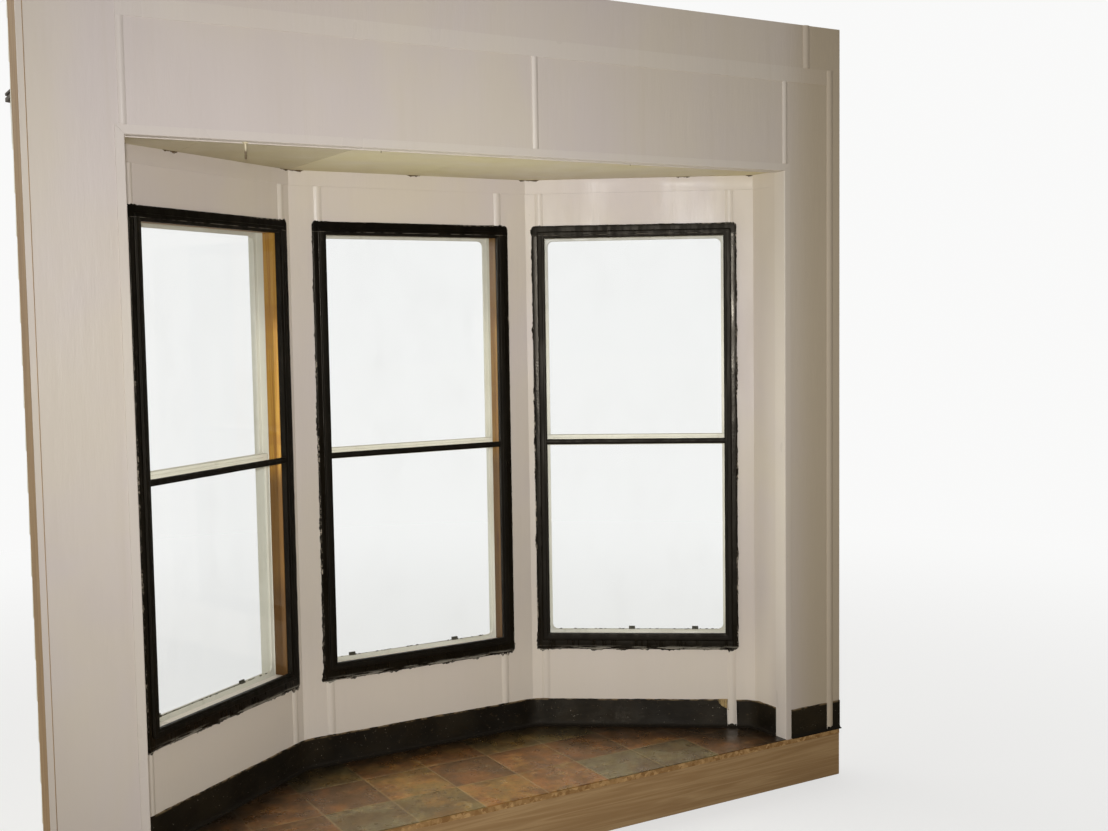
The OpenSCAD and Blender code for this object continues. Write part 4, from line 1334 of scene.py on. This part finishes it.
def stage_floor():
    """A pale floor that fades into the backdrop with distance and keeps the object's shadow."""
    ground = bpy.data.meshes.new("studio_floor")
    corners = rectangle(-FLOOR_REACH, -FLOOR_REACH, FLOOR_REACH, FLOOR_REACH)
    ground.from_pydata([(*corner, 0) for corner in corners], [], [(0, 1, 2, 3)])
    pale = Finish("studio_floor", roughness=1.0, specular=0.0)
    seen = pale.add("ShaderNodeLightPath").outputs["Is Camera Ray"]
    outdoors = pale.between(pale.split(pale.place)[1], -0.6, 0.6)
    pale.base = pale.mix(seen, pale.mix(outdoors, ROOM_FLOOR, YARD), FLOOR_SEEN)
    away = pale.add("ShaderNodeVectorMath", {0: pale.place}, operation="LENGTH").outputs["Value"]
    fade = pale.times(seen, pale.between(away, 0.0, FLOOR_FADE, 0.62, 1.0))
    pale.show(pale.blend(fade, pale.shader, pale.add("ShaderNodeEmission", {"Color": BACKDROP})))
    ground.materials.append(pale.end())
    floor = into_scene("studio_floor", ground)


def studio_world():
    """Daylight from outdoors and a dim room, with a pale backdrop for what looks at it."""
    world = bpy.data.worlds.new("studio")
    bpy.context.scene.world = world
    world.use_nodes = True
    sky = Nodes(world.node_tree, "World Output")
    rays = sky.add("ShaderNodeLightPath").outputs
    seen = sky.math("MAXIMUM", rays["Is Camera Ray"], rays["Is Transmission Ray"])
    outdoors = sky.split(sky.add("ShaderNodeTexCoord").outputs["Generated"])["Y"]
    light = sky.tree.nodes["Background"]
    sky.put(light.inputs["Color"], sky.mix(sky.between(outdoors, -0.35, 0.35), ROOM_LIGHT, DAYLIGHT))
    sky.show(sky.blend(seen, light, sky.add("ShaderNodeBackground", {"Color": BACKDROP})))


def add_light(name, kind, place, aim, power, tint):
    light = bpy.data.lights.new(name, kind)
    light.energy, light.color = power, tint
    holder = into_scene(name, light)
    holder.location = place
    holder.rotation_euler = (Vector(aim) - Vector(place)).to_track_quat("-Z", "Y").to_euler()
    return holder


def studio_lights():
    """A small light beside the camera, a wide soft sun outdoors, and daylight that comes into the
    room from between the panes. The light beside the camera and the daylight don't show in the panes."""
    sun = add_light("sun", "SUN", SUN_AT, SUN_AIM, SUN_POWER, (1.0, 0.98, 0.93))
    sun.data.angle = SUN_SPREAD
    key = add_light("key", "AREA", KEY_AT, KEY_AIM, KEY_POWER, (1.0, 1.0, 1.01))
    key.data.shape, key.data.size, key.data.spread = "DISK", KEY_SIZE, math.radians(100)
    panes = bpy.data.collections.new("panes")
    for pane in (frame["nodes"]["inner_glass"], OUTER_PANES):
        panes.objects.link(pane)
    key.light_linking.receiver_collection = panes
    for member in panes.collection_objects:
        member.light_linking.link_state = "EXCLUDE"
    for (name, face), power in zip(WINDOWS.items(), SKY_IN):
        s0, z0, s1, z1 = frame_rect(face, name)
        middle = face.at((s0 + s1) / 2, 0.030, z0 + 0.42 * (z1 - z0))
        for side, aim, watts in (("in", -face.out, power), ("out", face.out, SKY_OUT)):
            sky = add_light(name + "_" + side, "AREA", middle, middle + aim, watts, SKY_TINT)
            sky.data.shape = "RECTANGLE"
            sky.data.size, sky.data.size_y = s1 - s0 - 2 * STILE[0], 0.74 * (z1 - z0)
            sky.visible_camera = sky.visible_glossy = sky.visible_transmission = False


def add_camera():
    eye = bpy.data.cameras.new("camera")
    eye.lens, eye.sensor_width = LENS, 36
    eye.clip_start, eye.clip_end = 0.05, 100
    camera = into_scene("camera", eye)
    turn = Matrix.Identity(4)
    for degrees, axis in ((-YAW, "Z"), (90 - TILT, "X"), (ROLL, "Z")):
        turn = turn @ Matrix.Rotation(math.radians(degrees), 4, axis)
    camera.matrix_world = Matrix.Translation(EYE) @ turn
    bpy.context.scene.camera = camera


stage_floor()
studio_world()
studio_lights()
add_camera()
bpy.context.scene.view_settings.view_transform = "Standard"
